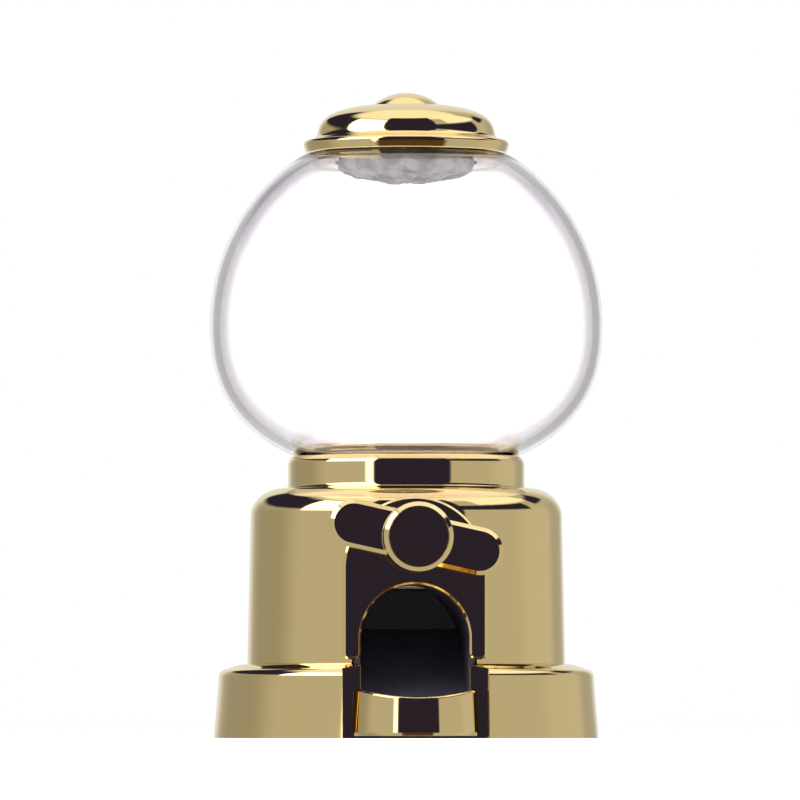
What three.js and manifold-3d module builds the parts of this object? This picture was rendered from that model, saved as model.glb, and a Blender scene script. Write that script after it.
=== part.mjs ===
// A small hand-turned sweet dispenser: a clear globe with a lift-off lid stands on a round
// housing and plinth. Turning the knob turns a drum that takes one sweet from the globe and
// drops it down a chute to the tray. Millimetres, +Z up, the front faces -Y, and the origin
// is on the machine's axis at the table.
import * as THREE from 'three';
import { mergeVertices } from 'three/addons/utils/BufferGeometryUtils.js';
import Module from 'manifold-3d';

const wasm = await Module();
wasm.setup();

// ---- Driving dimensions -----------------------------------------------------------------

const gap = 0.3;                  // between neighbouring pieces
const running = 0.1;              // radial, between the shaft and its bushings
const threadGap = 0.15;           // radial, between a screw's shank and its hole
const wall = 1.6;                 // moulded shells
const past = 1;                   // how far a cutting shape runs past what it cuts

const housingRadius = 25.4;
const housingHeight = 27.8;
const housingDraft = 0.5;         // how much narrower the housing is at its shoulder
const shoulderRadius = 4.6;

const plinthHeight = 11.8;
const plinthLedge = 5.4;          // how far the foot stands out past the housing
const plinthTaper = 1.1;          // from the foot up to the waist
const plinthEdgeRadius = 1.9;
const plinthCrown = 0.8;          // rise of the top inside its rounded edge
const plinthFlatMargin = 0.2;     // the flat top beyond the housing
const flareShare = 0.45;          // of the taper, reached at this share of the height:
const flareLevel = 0.29;
const bossSpanX = 0.615;          // places of the bosses, in shares of the inner radius
const bossSpanY = 0.6;
const bossSink = 0.4;             // run of a boss into the ceiling
const blindLeft = 1.0;            // left over a blind screw hole
const notchMargin = 0.2;          // of the notch beyond the plate, each side
const mouthMargin = 0.05;
const coverThickness = 2.2;
const coverSeat = 0.7;            // left under the screw heads
const coverTaper = 0.3;           // share of the plinth's taper at the cover

const mouthHalf = 8.55;           // half the width of the arched mouth
const mouthDrop = 7.3;            // from the shaft's axis down to the top of the mouth
const legWidth = 2.75;            // the front plate's legs beside the mouth
const legCornerRadius = 0.9;
const plateProud = 0.8;           // the plate's face ahead of the housing
const plateSeat = 1.0;            // depth of the flat seat behind it
const plateBevel = 0.6;
const plateTopDrop = 1.9;         // below the housing's top
const padThickness = 2.8;         // the housing's flat inner pad
const padMargin = 1.2;            // of the pad beyond the plate, each side
const plateSkin = 0.8;            // left ahead of the plate's blind screw holes
const plateScrewInset = 1.9;      // from the plate's edge
const plateScrewDrop = 2.5;       // below the shaft's axis

const pillarRadius = 2.3;
const pillarSink = 0.3;           // run of a pillar into the housing's wall
const pillarAngle = THREE.MathUtils.degToRad(34.5);
const pillarHeight = 12;

const trayWall = 1.1;
const trayReach = 9.7;            // radius of the half-round tray
const trayFlare = 0.35;
const trayRimHeight = 7.8;
const trayScoop = 1.3;            // how much lower the rim is in front
const trayFloorThickness = 1.1;
const trayFootHeight = 0.4;
const trayRimBevel = 0.4;
const trayCorner = 0.8;           // slope between its floor and its wall
const scoopNear = 0.3;            // the scoop starts and ends at these shares of the reach
const scoopFar = 0.75;
const hookThickness = 2.4;
const hookReach = 2;              // beyond the tongue, each side

const collarWall = 2.2;
const collarHeight = 5.2;
const collarRounding = 1.8;
const ledgeThickness = 1.2;
const collarLip = 1.0;            // the collar's top edge over the globe
const spigotStep = 1.7;           // from the collar's bore in to the spigot
const spigotWall = 1.6;
const spigotLength = 5.3;
const nutWidth = 2.7;
const nutHeight = 3.0;

const globeRadius = 31.4;
const globeUpper = 31.9;          // from the widest level to the top of the full curve
const globeLower = 23.84;
const globeLowerPower = 2.4;      // squarer than an ellipse, which has 2
const globeWall = 1.5;
const globeRise = 24.8;           // the widest level above the collar's ledge
const neckRadius = 16.4;
const fillNeckRadius = 12.7;
const fillNeckWall = 1.2;
const fillNeckLength = 1.8;

const lidBrimRadius = 16.3;
const lidBrimRoll = 0.85;
const lidDomeRadius = 14.2;
const lidDomeHeight = 4.95;
const lidDomePower = 2.75;
const lidBrimRise = 2.0;          // from the brim's edge to the dome's foot
const lidWall = 1.5;
const lidClearance = 0.2;         // between the brim and the globe
const hollowInset = 0.3;          // the lid's hollow against the filling neck
const hollowSlopeWidth = 0.8;
const hollowSlopeHeight = 1.2;
const buttonRadius = 5.5;
const buttonHeight = 2.2;
const buttonSink = 0.4;
const stemRadius = 1.5;
const plugWall = 1.2;
const plugDepth = 8.5;            // below the rim of the filling neck
const plugBelly = 3.0;            // depth of its rounded bottom

const hopperOutletRadius = 5.0;
const hopperWall = 0.9;
const hopperDrop = 2.6;
const hopperStep = 0.4;

const shaftDrop = 8.4;            // the shaft's axis below the housing's top
const shaftRadius = 1.8;
const bushingWall = 1.1;
const bushingFlange = 1.2;
const bushingFlangeThickness = 1.2;
const bushingSetBack = 0.4;       // behind the plate's face
const drumRadius = 6.5;
const drumLength = 13;
const drumClearance = 0.4;
const pocketRadius = 4.3;
const pocketSkin = 0.7;           // between the pocket and the shaft
const shaftChamfer = 0.4;
const shaftTail = 1.4;            // behind the clip
const shaftInKnob = 5;
const shaftTapDepth = 5;
const grooveDepth = 0.4;
const grooveSlack = 0.1;

const cradleWall = 1.6;
const cradleFloor = 0.6;
const cradleRise = 5;             // above the shaft's axis
const cradleDropMargin = 1.9;     // of its opening inside the drum's radius
const cradleDropEnd = 1.5;
const armSink = 0.5;
const flangeThickness = 1.5;
const flangeRise = 3;             // above the shaft's axis
const flangeMargin = 2.1;         // beyond the plate's screws
const shaftPassage = 0.6;         // around the shaft in the cradle's front wall

const knobLength = 27.7;
const knobWidth = 7.5;
const knobThickness = 3.4;
const knobBevel = 0.8;
const knobStandOff = 1.4;         // behind the knob's bar
const knobTilt = THREE.MathUtils.degToRad(12.5);
const hubRadius = 5.46;
const hubReach = 9.2;             // from the back of the bar to the hub's face
const hubBevelWidth = 0.75;
const hubBevelDepth = 0.8;
const capRadius = 4.4;
const capThickness = 1.2;
const washerThickness = 0.8;
const washerWidth = 2.4;
const clipThickness = 0.8;
const clipWidth = 1.4;
const clipBite = 0.25;            // into the shaft's groove
const clipSlotHalf = 0.9;

const chuteWall = 1.0;
const chuteSlope = THREE.MathUtils.degToRad(22);
const chuteBehind = 2;            // behind the drum
const chuteOpeningBehind = 2;     // of the plinth's opening behind the sloping floor
const earStandOff = 0.4;
const earThickness = 1.5;
const earHalfWidth = 2.4;
const earHalfDepth = 3;
const earBossDepth = 3.6;
const earHoleDepth = 2.8;
const dropMargin = 1.3;           // of the chute's opening inside the drum's radius
const dropEnd = 1;
const dropRise = 4;               // from the ears up to the opening
const cradleRoomAhead = 2.8;      // of the cradle's room ahead of the drum

const screwRadius = 1.0;
const screwHeadRadius = 2.0;
const screwHeadHeight = 0.9;
const bossRadius = 2.6;
const crownShare = 0.7;           // of the head's radius, flat on top
const edgeShare = 0.55;           // of the head's height, where its edge is widest
const pointShare = 0.3;           // of the shank's radius, at its blunt point
const recessReach = 0.55;         // of the head's radius, along the cross recess
const recessHalf = 0.13;
const recessLevel = 0.45;         // of the head's height, left under the recess
const screwEnd = 1.2;             // left beyond a screw's point
const housingScrewLength = 10;
const chuteScrewLength = 5.2;
const knobScrewLength = 5.5;
const knobScrewRadius = 0.8;

const largeSides = 36;            // facets of the large round pieces
const mediumSides = 24;
const smallSides = 16;
const screwSides = 8;

// ---- Derived levels and places ----------------------------------------------------------

const housingBottom = plinthHeight + gap;
const housingTop = housingBottom + housingHeight;
const collarBottom = housingTop + gap;
const ledgeTop = collarBottom + ledgeThickness;
const globeCentre = ledgeTop + globeRise;
const shaftHeight = housingTop - shaftDrop;

const plateHalf = mouthHalf + legWidth;
const plateFace = -(housingRadius + plateProud);
const padFront = -(housingRadius - plateSeat);
const padBack = padFront + padThickness;
const padHalf = plateHalf + padMargin;
const plateTop = housingTop - plateTopDrop;
const plateBottom = housingBottom + gap;
const mouthTop = shaftHeight - mouthDrop;
const plateScrewX = plateHalf - plateScrewInset;
const plateScrewHeight = shaftHeight - plateScrewDrop;

const innerRadius = housingRadius - wall;
const pillarCircle = innerRadius - pillarRadius + pillarSink;
const pillarPlaces = fourPlaces(pillarCircle * Math.cos(pillarAngle), pillarCircle * Math.sin(pillarAngle));

const footRadius = housingRadius + plinthLedge;
const waistRadius = footRadius - plinthTaper;
const bossPlaces = fourPlaces((footRadius - wall) * bossSpanX, (footRadius - wall) * bossSpanY);

const tongueBottom = coverThickness + gap;
const trayFloor = tongueBottom + trayFloorThickness;
const chuteOuterHalf = mouthHalf + chuteWall;
const chuteFront = gap - Math.sqrt((housingRadius + gap) ** 2 - chuteOuterHalf ** 2);
const chuteBack = drumLength / 2 + chuteBehind;
const earScrewX = chuteOuterHalf + gap + bossRadius + earStandOff;
const earScrewY = -1;
const earPlaces = [[-earScrewX, earScrewY], [earScrewX, earScrewY]];
const earTop = housingBottom + earThickness;

const collarBore = neckRadius + gap;
const collarRadius = collarBore + collarWall;
const spigotRadius = collarBore - spigotStep;
const spigotBore = spigotRadius - spigotWall;
const spigotBottom = collarBottom - spigotLength;

const fillNeckTop = globeCentre + globeHeight(fillNeckRadius, globeRadius, globeUpper, 2) + fillNeckLength;
const brimHeight = globeCentre + globeHeight(lidBrimRadius, globeRadius, globeUpper, 2)
  + lidBrimRoll + lidClearance;
const domeFoot = brimHeight + lidBrimRise;
const lidTop = domeFoot + lidDomeHeight;
const buttonBase = lidTop - buttonSink;
const lidCeiling = buttonBase - gap - lidWall;

const bushingRadius = shaftRadius + running + bushingWall;
const rearWallBack = drumLength / 2 + gap + cradleWall + gap;
const shaftBack = rearWallBack + bushingFlangeThickness + gap + clipThickness + shaftTail;
const knobBack = plateFace - knobStandOff;
const hubFace = knobBack - hubReach;
const shaftFront = knobBack - shaftInKnob;
const cradleHalf = drumRadius + drumClearance + cradleWall;

const cradleBottom = shaftHeight - drumRadius - drumClearance - cradleFloor;
const cradleTop = shaftHeight + cradleRise;
const flangeBack = padBack + gap + flangeThickness;
const flangeTop = shaftHeight + flangeRise;

// ---- Solids -----------------------------------------------------------------------------

// The four places at plus and minus x and y.
function fourPlaces(x, y) {
  return [[x, y], [-x, y], [-x, -y], [x, -y]];
}

// A three.js geometry as a solid: shared corners merged, faces turned outwards.
function toSolid(geometry) {
  const bare = geometry.clone();
  bare.deleteAttribute('normal');
  bare.deleteAttribute('uv');
  const merged = mergeVertices(bare, 1e-4);
  const corners = merged.index.array;
  const position = merged.attributes.position;
  const faces = [];
  let volume = 0;
  for (let i = 0; i < corners.length; i += 3) {
    const face = [corners[i], corners[i + 1], corners[i + 2]];
    if (new Set(face).size < 3) continue;
    faces.push(face);
    const [a, b, c] = face.map((corner) => new THREE.Vector3().fromBufferAttribute(position, corner));
    volume += a.dot(b.cross(c));
  }
  const outward = volume < 0 ? faces.map((face) => face.reverse()) : faces;
  return new wasm.Manifold(new wasm.Mesh({
    numProp: 3,
    vertProperties: Float32Array.from(position.array),
    triVerts: Uint32Array.from(outward.flat()),
  }));
}

const asSolid = (shape) => (shape.isBufferGeometry ? toSolid(shape) : shape);
const join = (...shapes) => shapes.map(asSolid).reduce((whole, shape) => whole.add(shape));
const cut = (shape, ...tools) => tools.map(asSolid)
  .reduce((rest, tool) => rest.subtract(tool), asSolid(shape));
const common = (shape, other) => asSolid(shape).intersect(asSolid(other));

function toGeometry(solid) {
  const mesh = solid.getMesh();
  const geometry = new THREE.BufferGeometry();
  geometry.setAttribute('position', new THREE.BufferAttribute(Float32Array.from(mesh.vertProperties), 3));
  geometry.setIndex(new THREE.BufferAttribute(Uint32Array.from(mesh.triVerts), 1));
  geometry.computeVertexNormals();
  return geometry;
}

// A profile of [radius, height] points turned about the vertical axis.
function turned(profile, sides = largeSides) {
  const points = profile.map(([radius, height]) => new THREE.Vector2(radius, height));
  return new THREE.LatheGeometry(points, sides).rotateX(Math.PI / 2);
}

// A ring or, with no bore, a disc.
function ring(outer, bore, bottom, top, sides = mediumSides) {
  const edge = [[outer, bottom], [outer, top]];
  if (bore === 0) return turned([[0, bottom], ...edge, [0, top]], sides);
  return turned([[bore, bottom], ...edge, [bore, top], [bore, bottom]], sides);
}

// The same about the shaft's direction: heights become distances ahead of y = 0.
const forward = (geometry) => geometry.rotateX(Math.PI / 2);
const across = (outer, bore, front, back, sides = smallSides) => (
  forward(ring(outer, bore, -back, -front, sides))
);

function block([x0, x1], [y0, y1], [z0, z1]) {
  return new THREE.BoxGeometry(x1 - x0, y1 - y0, z1 - z0)
    .translate((x0 + x1) / 2, (y0 + y1) / 2, (z0 + z1) / 2);
}

// An outline in X and Z, given depth from y = front to y = back.
function upright(shape, front, back, bevel = 0) {
  return new THREE.ExtrudeGeometry(shape, {
    depth: back - front - 2 * bevel,
    curveSegments: 10,
    bevelEnabled: bevel > 0,
    bevelThickness: bevel,
    bevelSize: bevel,
    bevelOffset: -bevel,
    bevelSegments: 1,
  }).rotateX(Math.PI / 2).translate(0, back - bevel, 0);
}

// An outline in Y and Z, given width from x = -half to x = half.
function sideways(points, half) {
  const shape = new THREE.Shape(points.map(([y, z]) => new THREE.Vector2(y, z)));
  const turn = new THREE.Matrix4().makeBasis(
    new THREE.Vector3(0, 1, 0),
    new THREE.Vector3(0, 0, 1),
    new THREE.Vector3(1, 0, 0),
  );
  return new THREE.ExtrudeGeometry(shape, { depth: 2 * half, bevelEnabled: false })
    .applyMatrix4(turn)
    .translate(-half, 0, 0);
}

// Points of a circular arc in a profile, angles in degrees from the outward direction.
function arc(centreRadius, centreHeight, radius, from, to, steps) {
  return Array.from({ length: steps + 1 }, (_, i) => {
    const angle = THREE.MathUtils.degToRad(from + (to - from) * i / steps);
    return [centreRadius + radius * Math.cos(angle), centreHeight + radius * Math.sin(angle)];
  });
}

// An arched outline: straight sides and a half-round top.
function arch(half, bottom, top) {
  const shape = new THREE.Shape();
  shape.moveTo(-half, bottom);
  shape.lineTo(half, bottom);
  shape.lineTo(half, top - half);
  shape.absarc(0, top - half, half, 0, Math.PI);
  shape.lineTo(-half, bottom);
  return shape;
}

// Pan-head screw, point up, head below z = 0, with a cross recess in its head.
function screw(length, radius = screwRadius, headRadius = screwHeadRadius) {
  const body = turned([
    [0, -screwHeadHeight],
    [headRadius * crownShare, -screwHeadHeight],
    [headRadius, -screwHeadHeight * edgeShare],
    [headRadius, 0],
    [radius, 0],
    [radius, length - radius],
    [radius * pointShare, length],
    [0, length],
  ], screwSides);
  const arm = headRadius * recessReach;
  const slit = headRadius * recessHalf;
  const depth = [-screwHeadHeight - past, -screwHeadHeight * recessLevel];
  return cut(body, block([-arm, arm], [-slit, slit], depth), block([-slit, slit], [-arm, arm], depth));
}

// Clearance holes for screws, upright at each place.
function uprightHoles(places, bottom, top, radius = screwRadius + threadGap) {
  return places.map(([x, y]) => ring(radius, 0, bottom, top, screwSides).translate(x, y, 0));
}

// Room for the front plate's screws or for their heads.
function plateScrewRooms(radius, front, back) {
  return [-plateScrewX, plateScrewX].map((x) => (
    across(radius, 0, front, back, screwSides).translate(x, 0, plateScrewHeight)
  ));
}

const plateHeadRooms = () => plateScrewRooms(screwHeadRadius + gap, flangeBack,
  flangeBack + screwHeadHeight + 2 * gap);

// ---- Looks ------------------------------------------------------------------------------

function finish(color, roughness, metalness, opacity = 1) {
  return new THREE.MeshStandardMaterial({ color, roughness, metalness, opacity, transparent: opacity < 1 });
}

const goldPlated = () => finish(0xb9a573, 0.08, 1);
const clearPlastic = () => finish(0xf2f2f4, 0.04, 0, 0.25);
const blackPlastic = () => finish(0x1a1a1c, 0.4, 0);
const whitePlastic = () => finish(0xe9e7e0, 0.4, 0);
const greyPlug = () => finish(0x8d8f93, 0.7, 0);
const zincSteel = () => finish(0xb4b8bc, 0.3, 1);
const nylon = () => finish(0xdad6c8, 0.5, 0);

const machine = new THREE.Group();

function piece(group, name, shape, material) {
  const geometry = toGeometry(asSolid(shape));
  const mesh = new THREE.Mesh(geometry, material);
  mesh.name = name;
  group.add(mesh);
  return mesh;
}

// Screws of one length, point up at z = height, or point down when flipped.
function screwSet(group, name, places, height, length, flipped = false) {
  places.forEach(([x, y], i) => {
    const mesh = piece(group, `${name}_${i + 1}`, screw(length), zincSteel());
    mesh.position.set(x, y, height);
    if (flipped) mesh.rotation.x = Math.PI;
  });
}

// ---- Plinth, its cover and the tray -----------------------------------------------------

const plinthRim = plinthHeight - plinthCrown;
const plinthFlatRadius = housingRadius + plinthFlatMargin;

function plinthSkin() {
  return [
    [plinthFlatRadius, plinthHeight],
    ...arc(waistRadius - plinthEdgeRadius, plinthRim - plinthEdgeRadius, plinthEdgeRadius, 90, 0, 4),
    [footRadius - plinthTaper * flareShare, plinthHeight * flareLevel],
    [footRadius, 0],
  ];
}

function plinth() {
  const ceiling = plinthHeight - wall;
  const innerFoot = footRadius - wall;
  const shell = turned([
    [0, plinthHeight],
    ...plinthSkin(),
    [innerFoot, 0],
    [waistRadius - wall, plinthRim - plinthEdgeRadius],
    [plinthFlatRadius - wall, ceiling],
    [0, ceiling],
  ], largeSides + 4);
  const outside = turned([[0, plinthHeight], ...plinthSkin(), [0, 0]], largeSides + 4);
  const notchHalf = plateHalf + notchMargin;
  const notchWall = common(outside, block([-notchHalf - wall, notchHalf + wall],
    [-footRadius - past, plateFace + wall], [0, plinthHeight]));
  const notch = block([-notchHalf, notchHalf], [-footRadius - past, plateFace],
    [-past, plinthHeight + past]);
  const mouth = block([-mouthHalf - mouthMargin, mouthHalf + mouthMargin],
    [plateFace - past, plateFace + wall + past], [coverThickness, plinthHeight + past]);
  const chuteHalf = chuteOuterHalf + gap;
  const chuteEnd = chuteFront + (plinthHeight - trayFloor) / Math.tan(chuteSlope) + chuteOpeningBehind;
  const chuteHole = block([-chuteHalf, chuteHalf], [plateFace + wall, chuteEnd],
    [ceiling - past, plinthHeight + past]);
  const bossesAt = (places, bottom) => places.map(([x, y]) => (
    ring(bossRadius, 0, bottom, ceiling + bossSink, smallSides).translate(x, y, 0)
  ));
  const bosses = [...bossesAt(bossPlaces, tongueBottom), ...bossesAt(earPlaces, ceiling - earBossDepth)];
  const holes = [
    ...uprightHoles(bossPlaces, 0, ceiling - blindLeft),
    ...uprightHoles(pillarPlaces, 0, plinthHeight + past),
    ...uprightHoles(earPlaces, ceiling - earHoleDepth, plinthHeight + past),
  ];
  return cut(join(shell, notchWall, ...bosses), notch, mouth, chuteHole, ...holes);
}

function bottomCover() {
  const radius = footRadius - wall - plinthTaper * coverTaper - gap;
  const notchHalf = plateHalf + notchMargin + wall + gap;
  const notch = block([-notchHalf, notchHalf], [-footRadius, plateFace + wall + gap],
    [-past, coverThickness + past]);
  const headRooms = uprightHoles(bossPlaces, -past, coverThickness - coverSeat,
    screwHeadRadius + threadGap);
  const holes = uprightHoles(bossPlaces, -past, coverThickness + past);
  return cut(ring(radius, 0, 0, coverThickness, largeSides), notch, ...headRooms, ...holes);
}

// Half-round cup ahead of the plinth, with a flat tongue that hooks behind its front wall.
function tray() {
  const centre = plateFace - gap;
  const cup = turned([
    [0, trayFootHeight],
    [trayReach + trayFlare, trayFootHeight],
    [trayReach, trayRimHeight - trayRimBevel],
    [trayReach - trayRimBevel, trayRimHeight],
    [0, trayRimHeight],
  ], largeSides).translate(0, centre, 0);
  const inside = turned([
    [0, trayFloor],
    [trayReach - trayWall - trayCorner, trayFloor],
    [trayReach - trayWall, trayFloor + trayCorner],
    [trayReach - trayWall, trayRimHeight + past],
    [0, trayRimHeight + past],
  ], largeSides).translate(0, centre, 0);
  const hollowFoot = ring(trayReach - trayWall, 0, 0, tongueBottom, mediumSides).translate(0, centre, 0);
  const behind = block([-trayReach - past, trayReach + past], [centre, centre + trayReach + past],
    [0, trayRimHeight + 2 * past]);
  const frontEdge = centre - trayReach - past;
  const scoop = sideways([
    [frontEdge, trayRimHeight - trayScoop],
    [centre - trayReach * scoopFar, trayRimHeight - trayScoop],
    [centre - trayReach * scoopNear, trayRimHeight - trayScoop * scoopNear],
    [centre, trayRimHeight + past / 10],
    [frontEdge, trayRimHeight + past],
  ], trayReach + past);
  const tongueHalf = mouthHalf - gap;
  const hookFront = plateFace + wall + gap;
  const hookBack = hookFront + hookThickness;
  const tongue = block([-tongueHalf, tongueHalf], [centre - past, hookBack], [tongueBottom, trayFloor]);
  const hook = block([-tongueHalf - hookReach, tongueHalf + hookReach], [hookFront, hookBack],
    [tongueBottom, trayFloor]);
  return join(cut(cup, inside, hollowFoot, behind, scoop), tongue, hook);
}

const base = new THREE.Group();
machine.add(base);
piece(base, 'plinth', plinth(), goldPlated());
piece(base, 'bottom_cover', bottomCover(), blackPlastic());
piece(base, 'tray', tray(), goldPlated());
screwSet(base, 'base_screw', bossPlaces, coverThickness - coverSeat - gap,
  plinthHeight - wall - coverThickness - screwEnd);

// ---- Housing and front plate ------------------------------------------------------------

const shoulderHeight = housingTop - shoulderRadius;
const topRadius = housingRadius - housingDraft;

function housingSkin(offset) {
  return [
    [housingRadius + offset, housingBottom],
    ...arc(topRadius - shoulderRadius, shoulderHeight, shoulderRadius + offset, 0, 90, 4),
  ];
}

function plateOutline(offset) {
  const half = plateHalf + offset;
  const spring = plateTop - plateHalf;
  const low = plateBottom - offset;
  const inner = mouthHalf;
  const corner = legCornerRadius;
  const shape = new THREE.Shape();
  shape.moveTo(half, spring);
  shape.absarc(0, spring, half, 0, Math.PI);
  shape.lineTo(-half, low + corner);
  shape.absarc(-half + corner, low + corner, corner, Math.PI, 1.5 * Math.PI);
  shape.lineTo(-inner - corner, low);
  shape.absarc(-inner - corner, low + corner, corner, 1.5 * Math.PI, 2 * Math.PI);
  shape.lineTo(-inner, mouthTop - inner);
  shape.absarc(0, mouthTop - inner, inner, Math.PI, 0, true);
  shape.lineTo(inner, low + corner);
  shape.absarc(inner + corner, low + corner, corner, Math.PI, 1.5 * Math.PI);
  shape.lineTo(half - corner, low);
  shape.absarc(half - corner, low + corner, corner, 1.5 * Math.PI, 2 * Math.PI);
  shape.lineTo(half, spring);
  return shape;
}

function housing() {
  const innerTop = housingTop - wall;
  const holeRadius = spigotRadius + gap;
  const shell = turned([
    [holeRadius, housingTop],
    ...housingSkin(0).reverse(),
    [innerRadius, housingBottom],
    [topRadius - wall, shoulderHeight],
    [topRadius - shoulderRadius, innerTop],
    [holeRadius, innerTop],
    [holeRadius, housingTop],
  ]);
  const outside = turned([[0, housingBottom], ...housingSkin(0), [0, housingTop]]);
  const pad = common(outside, block([-padHalf, padHalf], [-housingRadius, padBack],
    [housingBottom, plateTop + gap]));
  const pillarTop = housingBottom + pillarHeight;
  const pillars = pillarPlaces.map(([x, y]) => (
    ring(pillarRadius, 0, housingBottom, pillarTop, smallSides).translate(x, y, 0)
  ));
  const below = housingBottom - past;
  const ahead = -housingRadius - past;
  const seat = upright(arch(plateHalf + gap, below, plateTop + gap), ahead, padFront);
  const chuteHole = upright(arch(chuteOuterHalf + gap, below, mouthTop + chuteWall + gap), ahead,
    padBack + past);
  const bushingHole = across(bushingRadius + gap, 0, ahead, padBack + past).translate(0, 0, shaftHeight);
  return cut(join(shell, pad, ...pillars), seat, chuteHole, bushingHole,
    ...plateScrewRooms(screwRadius + threadGap, ahead, flangeBack + past), ...plateHeadRooms(),
    ...uprightHoles(pillarPlaces, below, pillarTop - screwEnd));
}

function frontPlate() {
  const slab = upright(plateOutline(0), plateFace, padBack, plateBevel);
  const housingSpace = common(
    turned([[0, housingBottom - past], [housingRadius + gap, housingBottom - past], ...housingSkin(gap),
      [0, housingTop + gap]]),
    block([-plateHalf - past, plateHalf + past], [padFront - gap, 0],
      [housingBottom - 2 * past, housingTop + past]),
  );
  const bushingHole = across(bushingRadius + gap, 0, plateFace - past, padBack)
    .translate(0, 0, shaftHeight);
  return cut(slab, housingSpace, bushingHole,
    ...plateScrewRooms(screwRadius + threadGap, plateFace + plateSkin, padBack));
}

const body = new THREE.Group();
machine.add(body);
piece(body, 'housing', housing(), goldPlated());
piece(body, 'front_plate', frontPlate(), goldPlated());
screwSet(body, 'housing_screw', pillarPlaces, plinthHeight - wall - gap, housingScrewLength);

// ---- Mechanism: chute, cradle and bushings ----------------------------------------------

function chute() {
  const run = chuteBack - chuteFront;
  const low = trayFloor + gap;
  const lift = chuteWall / Math.cos(chuteSlope);
  const roof = mouthTop + chuteWall;
  const aboveFloor = (rise, front) => sideways([
    [front, low + rise + (front - chuteFront) * Math.tan(chuteSlope)],
    [chuteBack, low + rise + run * Math.tan(chuteSlope)],
    [chuteBack, roof + past],
    [front, roof + past],
  ], chuteOuterHalf + past);
  const outer = common(upright(arch(chuteOuterHalf, 0, roof), chuteFront, chuteBack),
    aboveFloor(0, chuteFront));
  const inner = common(upright(arch(mouthHalf, 0, mouthTop), chuteFront - past, chuteBack - chuteWall),
    aboveFloor(lift, chuteFront - past));
  const earWidth = earScrewX + earHalfWidth;
  const ears = common(block([-earWidth, earWidth], [earScrewY - earHalfDepth, earScrewY + earHalfDepth],
    [housingBottom, earTop]), aboveFloor(0, chuteFront));
  const earHoles = uprightHoles(earPlaces, housingBottom - past, earTop + past);
  const dropHalf = drumRadius - dropMargin;
  const drop = block([-dropHalf, dropHalf], [dropEnd - drumLength / 2, drumLength / 2 - dropEnd],
    [earTop + dropRise, roof + past]);
  const cradleRoom = block([-chuteOuterHalf - past, chuteOuterHalf + past],
    [-drumLength / 2 - cradleRoomAhead, chuteBack + past], [cradleBottom - gap, roof + past]);
  return cut(join(outer, ears), inner, ...earHoles, drop, cradleRoom);
}

// A trough that the drum lies in, with arms to a flange behind the housing's pad.
function cradle() {
  const end = drumLength / 2 + gap + cradleWall;
  const trough = block([-cradleHalf, cradleHalf], [-end, end], [cradleBottom, cradleTop]);
  const boreRadius = drumRadius + drumClearance;
  const reach = drumLength / 2 + gap;
  const bore = across(boreRadius, 0, -reach, reach, mediumSides).translate(0, 0, shaftHeight);
  const openTop = block([-boreRadius, boreRadius], [-reach, reach], [shaftHeight, cradleTop + past]);
  const dropHalf = drumRadius - cradleDropMargin;
  const dropReach = drumLength / 2 - cradleDropEnd;
  const drop = block([-dropHalf, dropHalf], [-dropReach, dropReach], [cradleBottom - past, shaftHeight]);
  const armBottom = mouthTop + chuteWall + gap;
  const arms = [-1, 1].map((side) => {
    const x = [side * cradleHalf, side * (cradleHalf - cradleWall)].sort((a, b) => a - b);
    return block(x, [padBack + gap, -end + armSink], [armBottom, flangeTop]);
  });
  const flangeHalf = plateScrewX + flangeMargin;
  const flange = common(
    block([-flangeHalf, flangeHalf], [padBack + gap, flangeBack], [armBottom, flangeTop]),
    ring(innerRadius - housingDraft - gap, 0, armBottom - past, flangeTop + past, largeSides),
  );
  const shaftHole = across(shaftRadius + shaftPassage, 0, -end - past, 0).translate(0, 0, shaftHeight);
  const rearHole = across(bushingRadius + gap, 0, 0, end + past).translate(0, 0, shaftHeight);
  const frontHole = across(bushingRadius + bushingFlange + gap, 0, padBack, flangeBack + past)
    .translate(0, 0, shaftHeight);
  return cut(join(trough, ...arms, flange), bore, openTop, drop, shaftHole, rearHole, frontHole,
    ...plateScrewRooms(screwRadius + threadGap, padBack, flangeBack + past), ...plateHeadRooms());
}

// Flanged bushing, its sleeve running forward from the flange.
function bushing(sleeve) {
  const bore = shaftRadius + running;
  const flangeRadius = bushingRadius + bushingFlange;
  return forward(turned([
    [bore, -bushingFlangeThickness],
    [flangeRadius, -bushingFlangeThickness],
    [flangeRadius, 0],
    [bushingRadius, 0],
    [bushingRadius, sleeve],
    [bore, sleeve],
    [bore, -bushingFlangeThickness],
  ], smallSides));
}

const mechanism = new THREE.Group();
machine.add(mechanism);
piece(mechanism, 'chute', chute(), blackPlastic());
screwSet(mechanism, 'chute_screw', earPlaces, earTop + gap, chuteScrewLength, true);
piece(mechanism, 'cradle', cradle(), whitePlastic());
[-plateScrewX, plateScrewX].forEach((x, i) => {
  const length = flangeBack + gap - plateFace - screwEnd;
  const mesh = piece(mechanism, `plate_screw_${i + 1}`, screw(length), zincSteel());
  mesh.position.set(x, flangeBack + gap, plateScrewHeight);
  mesh.rotation.x = Math.PI / 2;
});
piece(mechanism, 'front_bushing', bushing(padBack + gap - plateFace - bushingSetBack), nylon())
  .position.set(0, padBack + gap, shaftHeight);
piece(mechanism, 'rear_bushing', bushing(cradleWall), nylon())
  .position.set(0, rearWallBack, shaftHeight);

// ---- Knob, shaft and drum, which turn together ------------------------------------------

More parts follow.
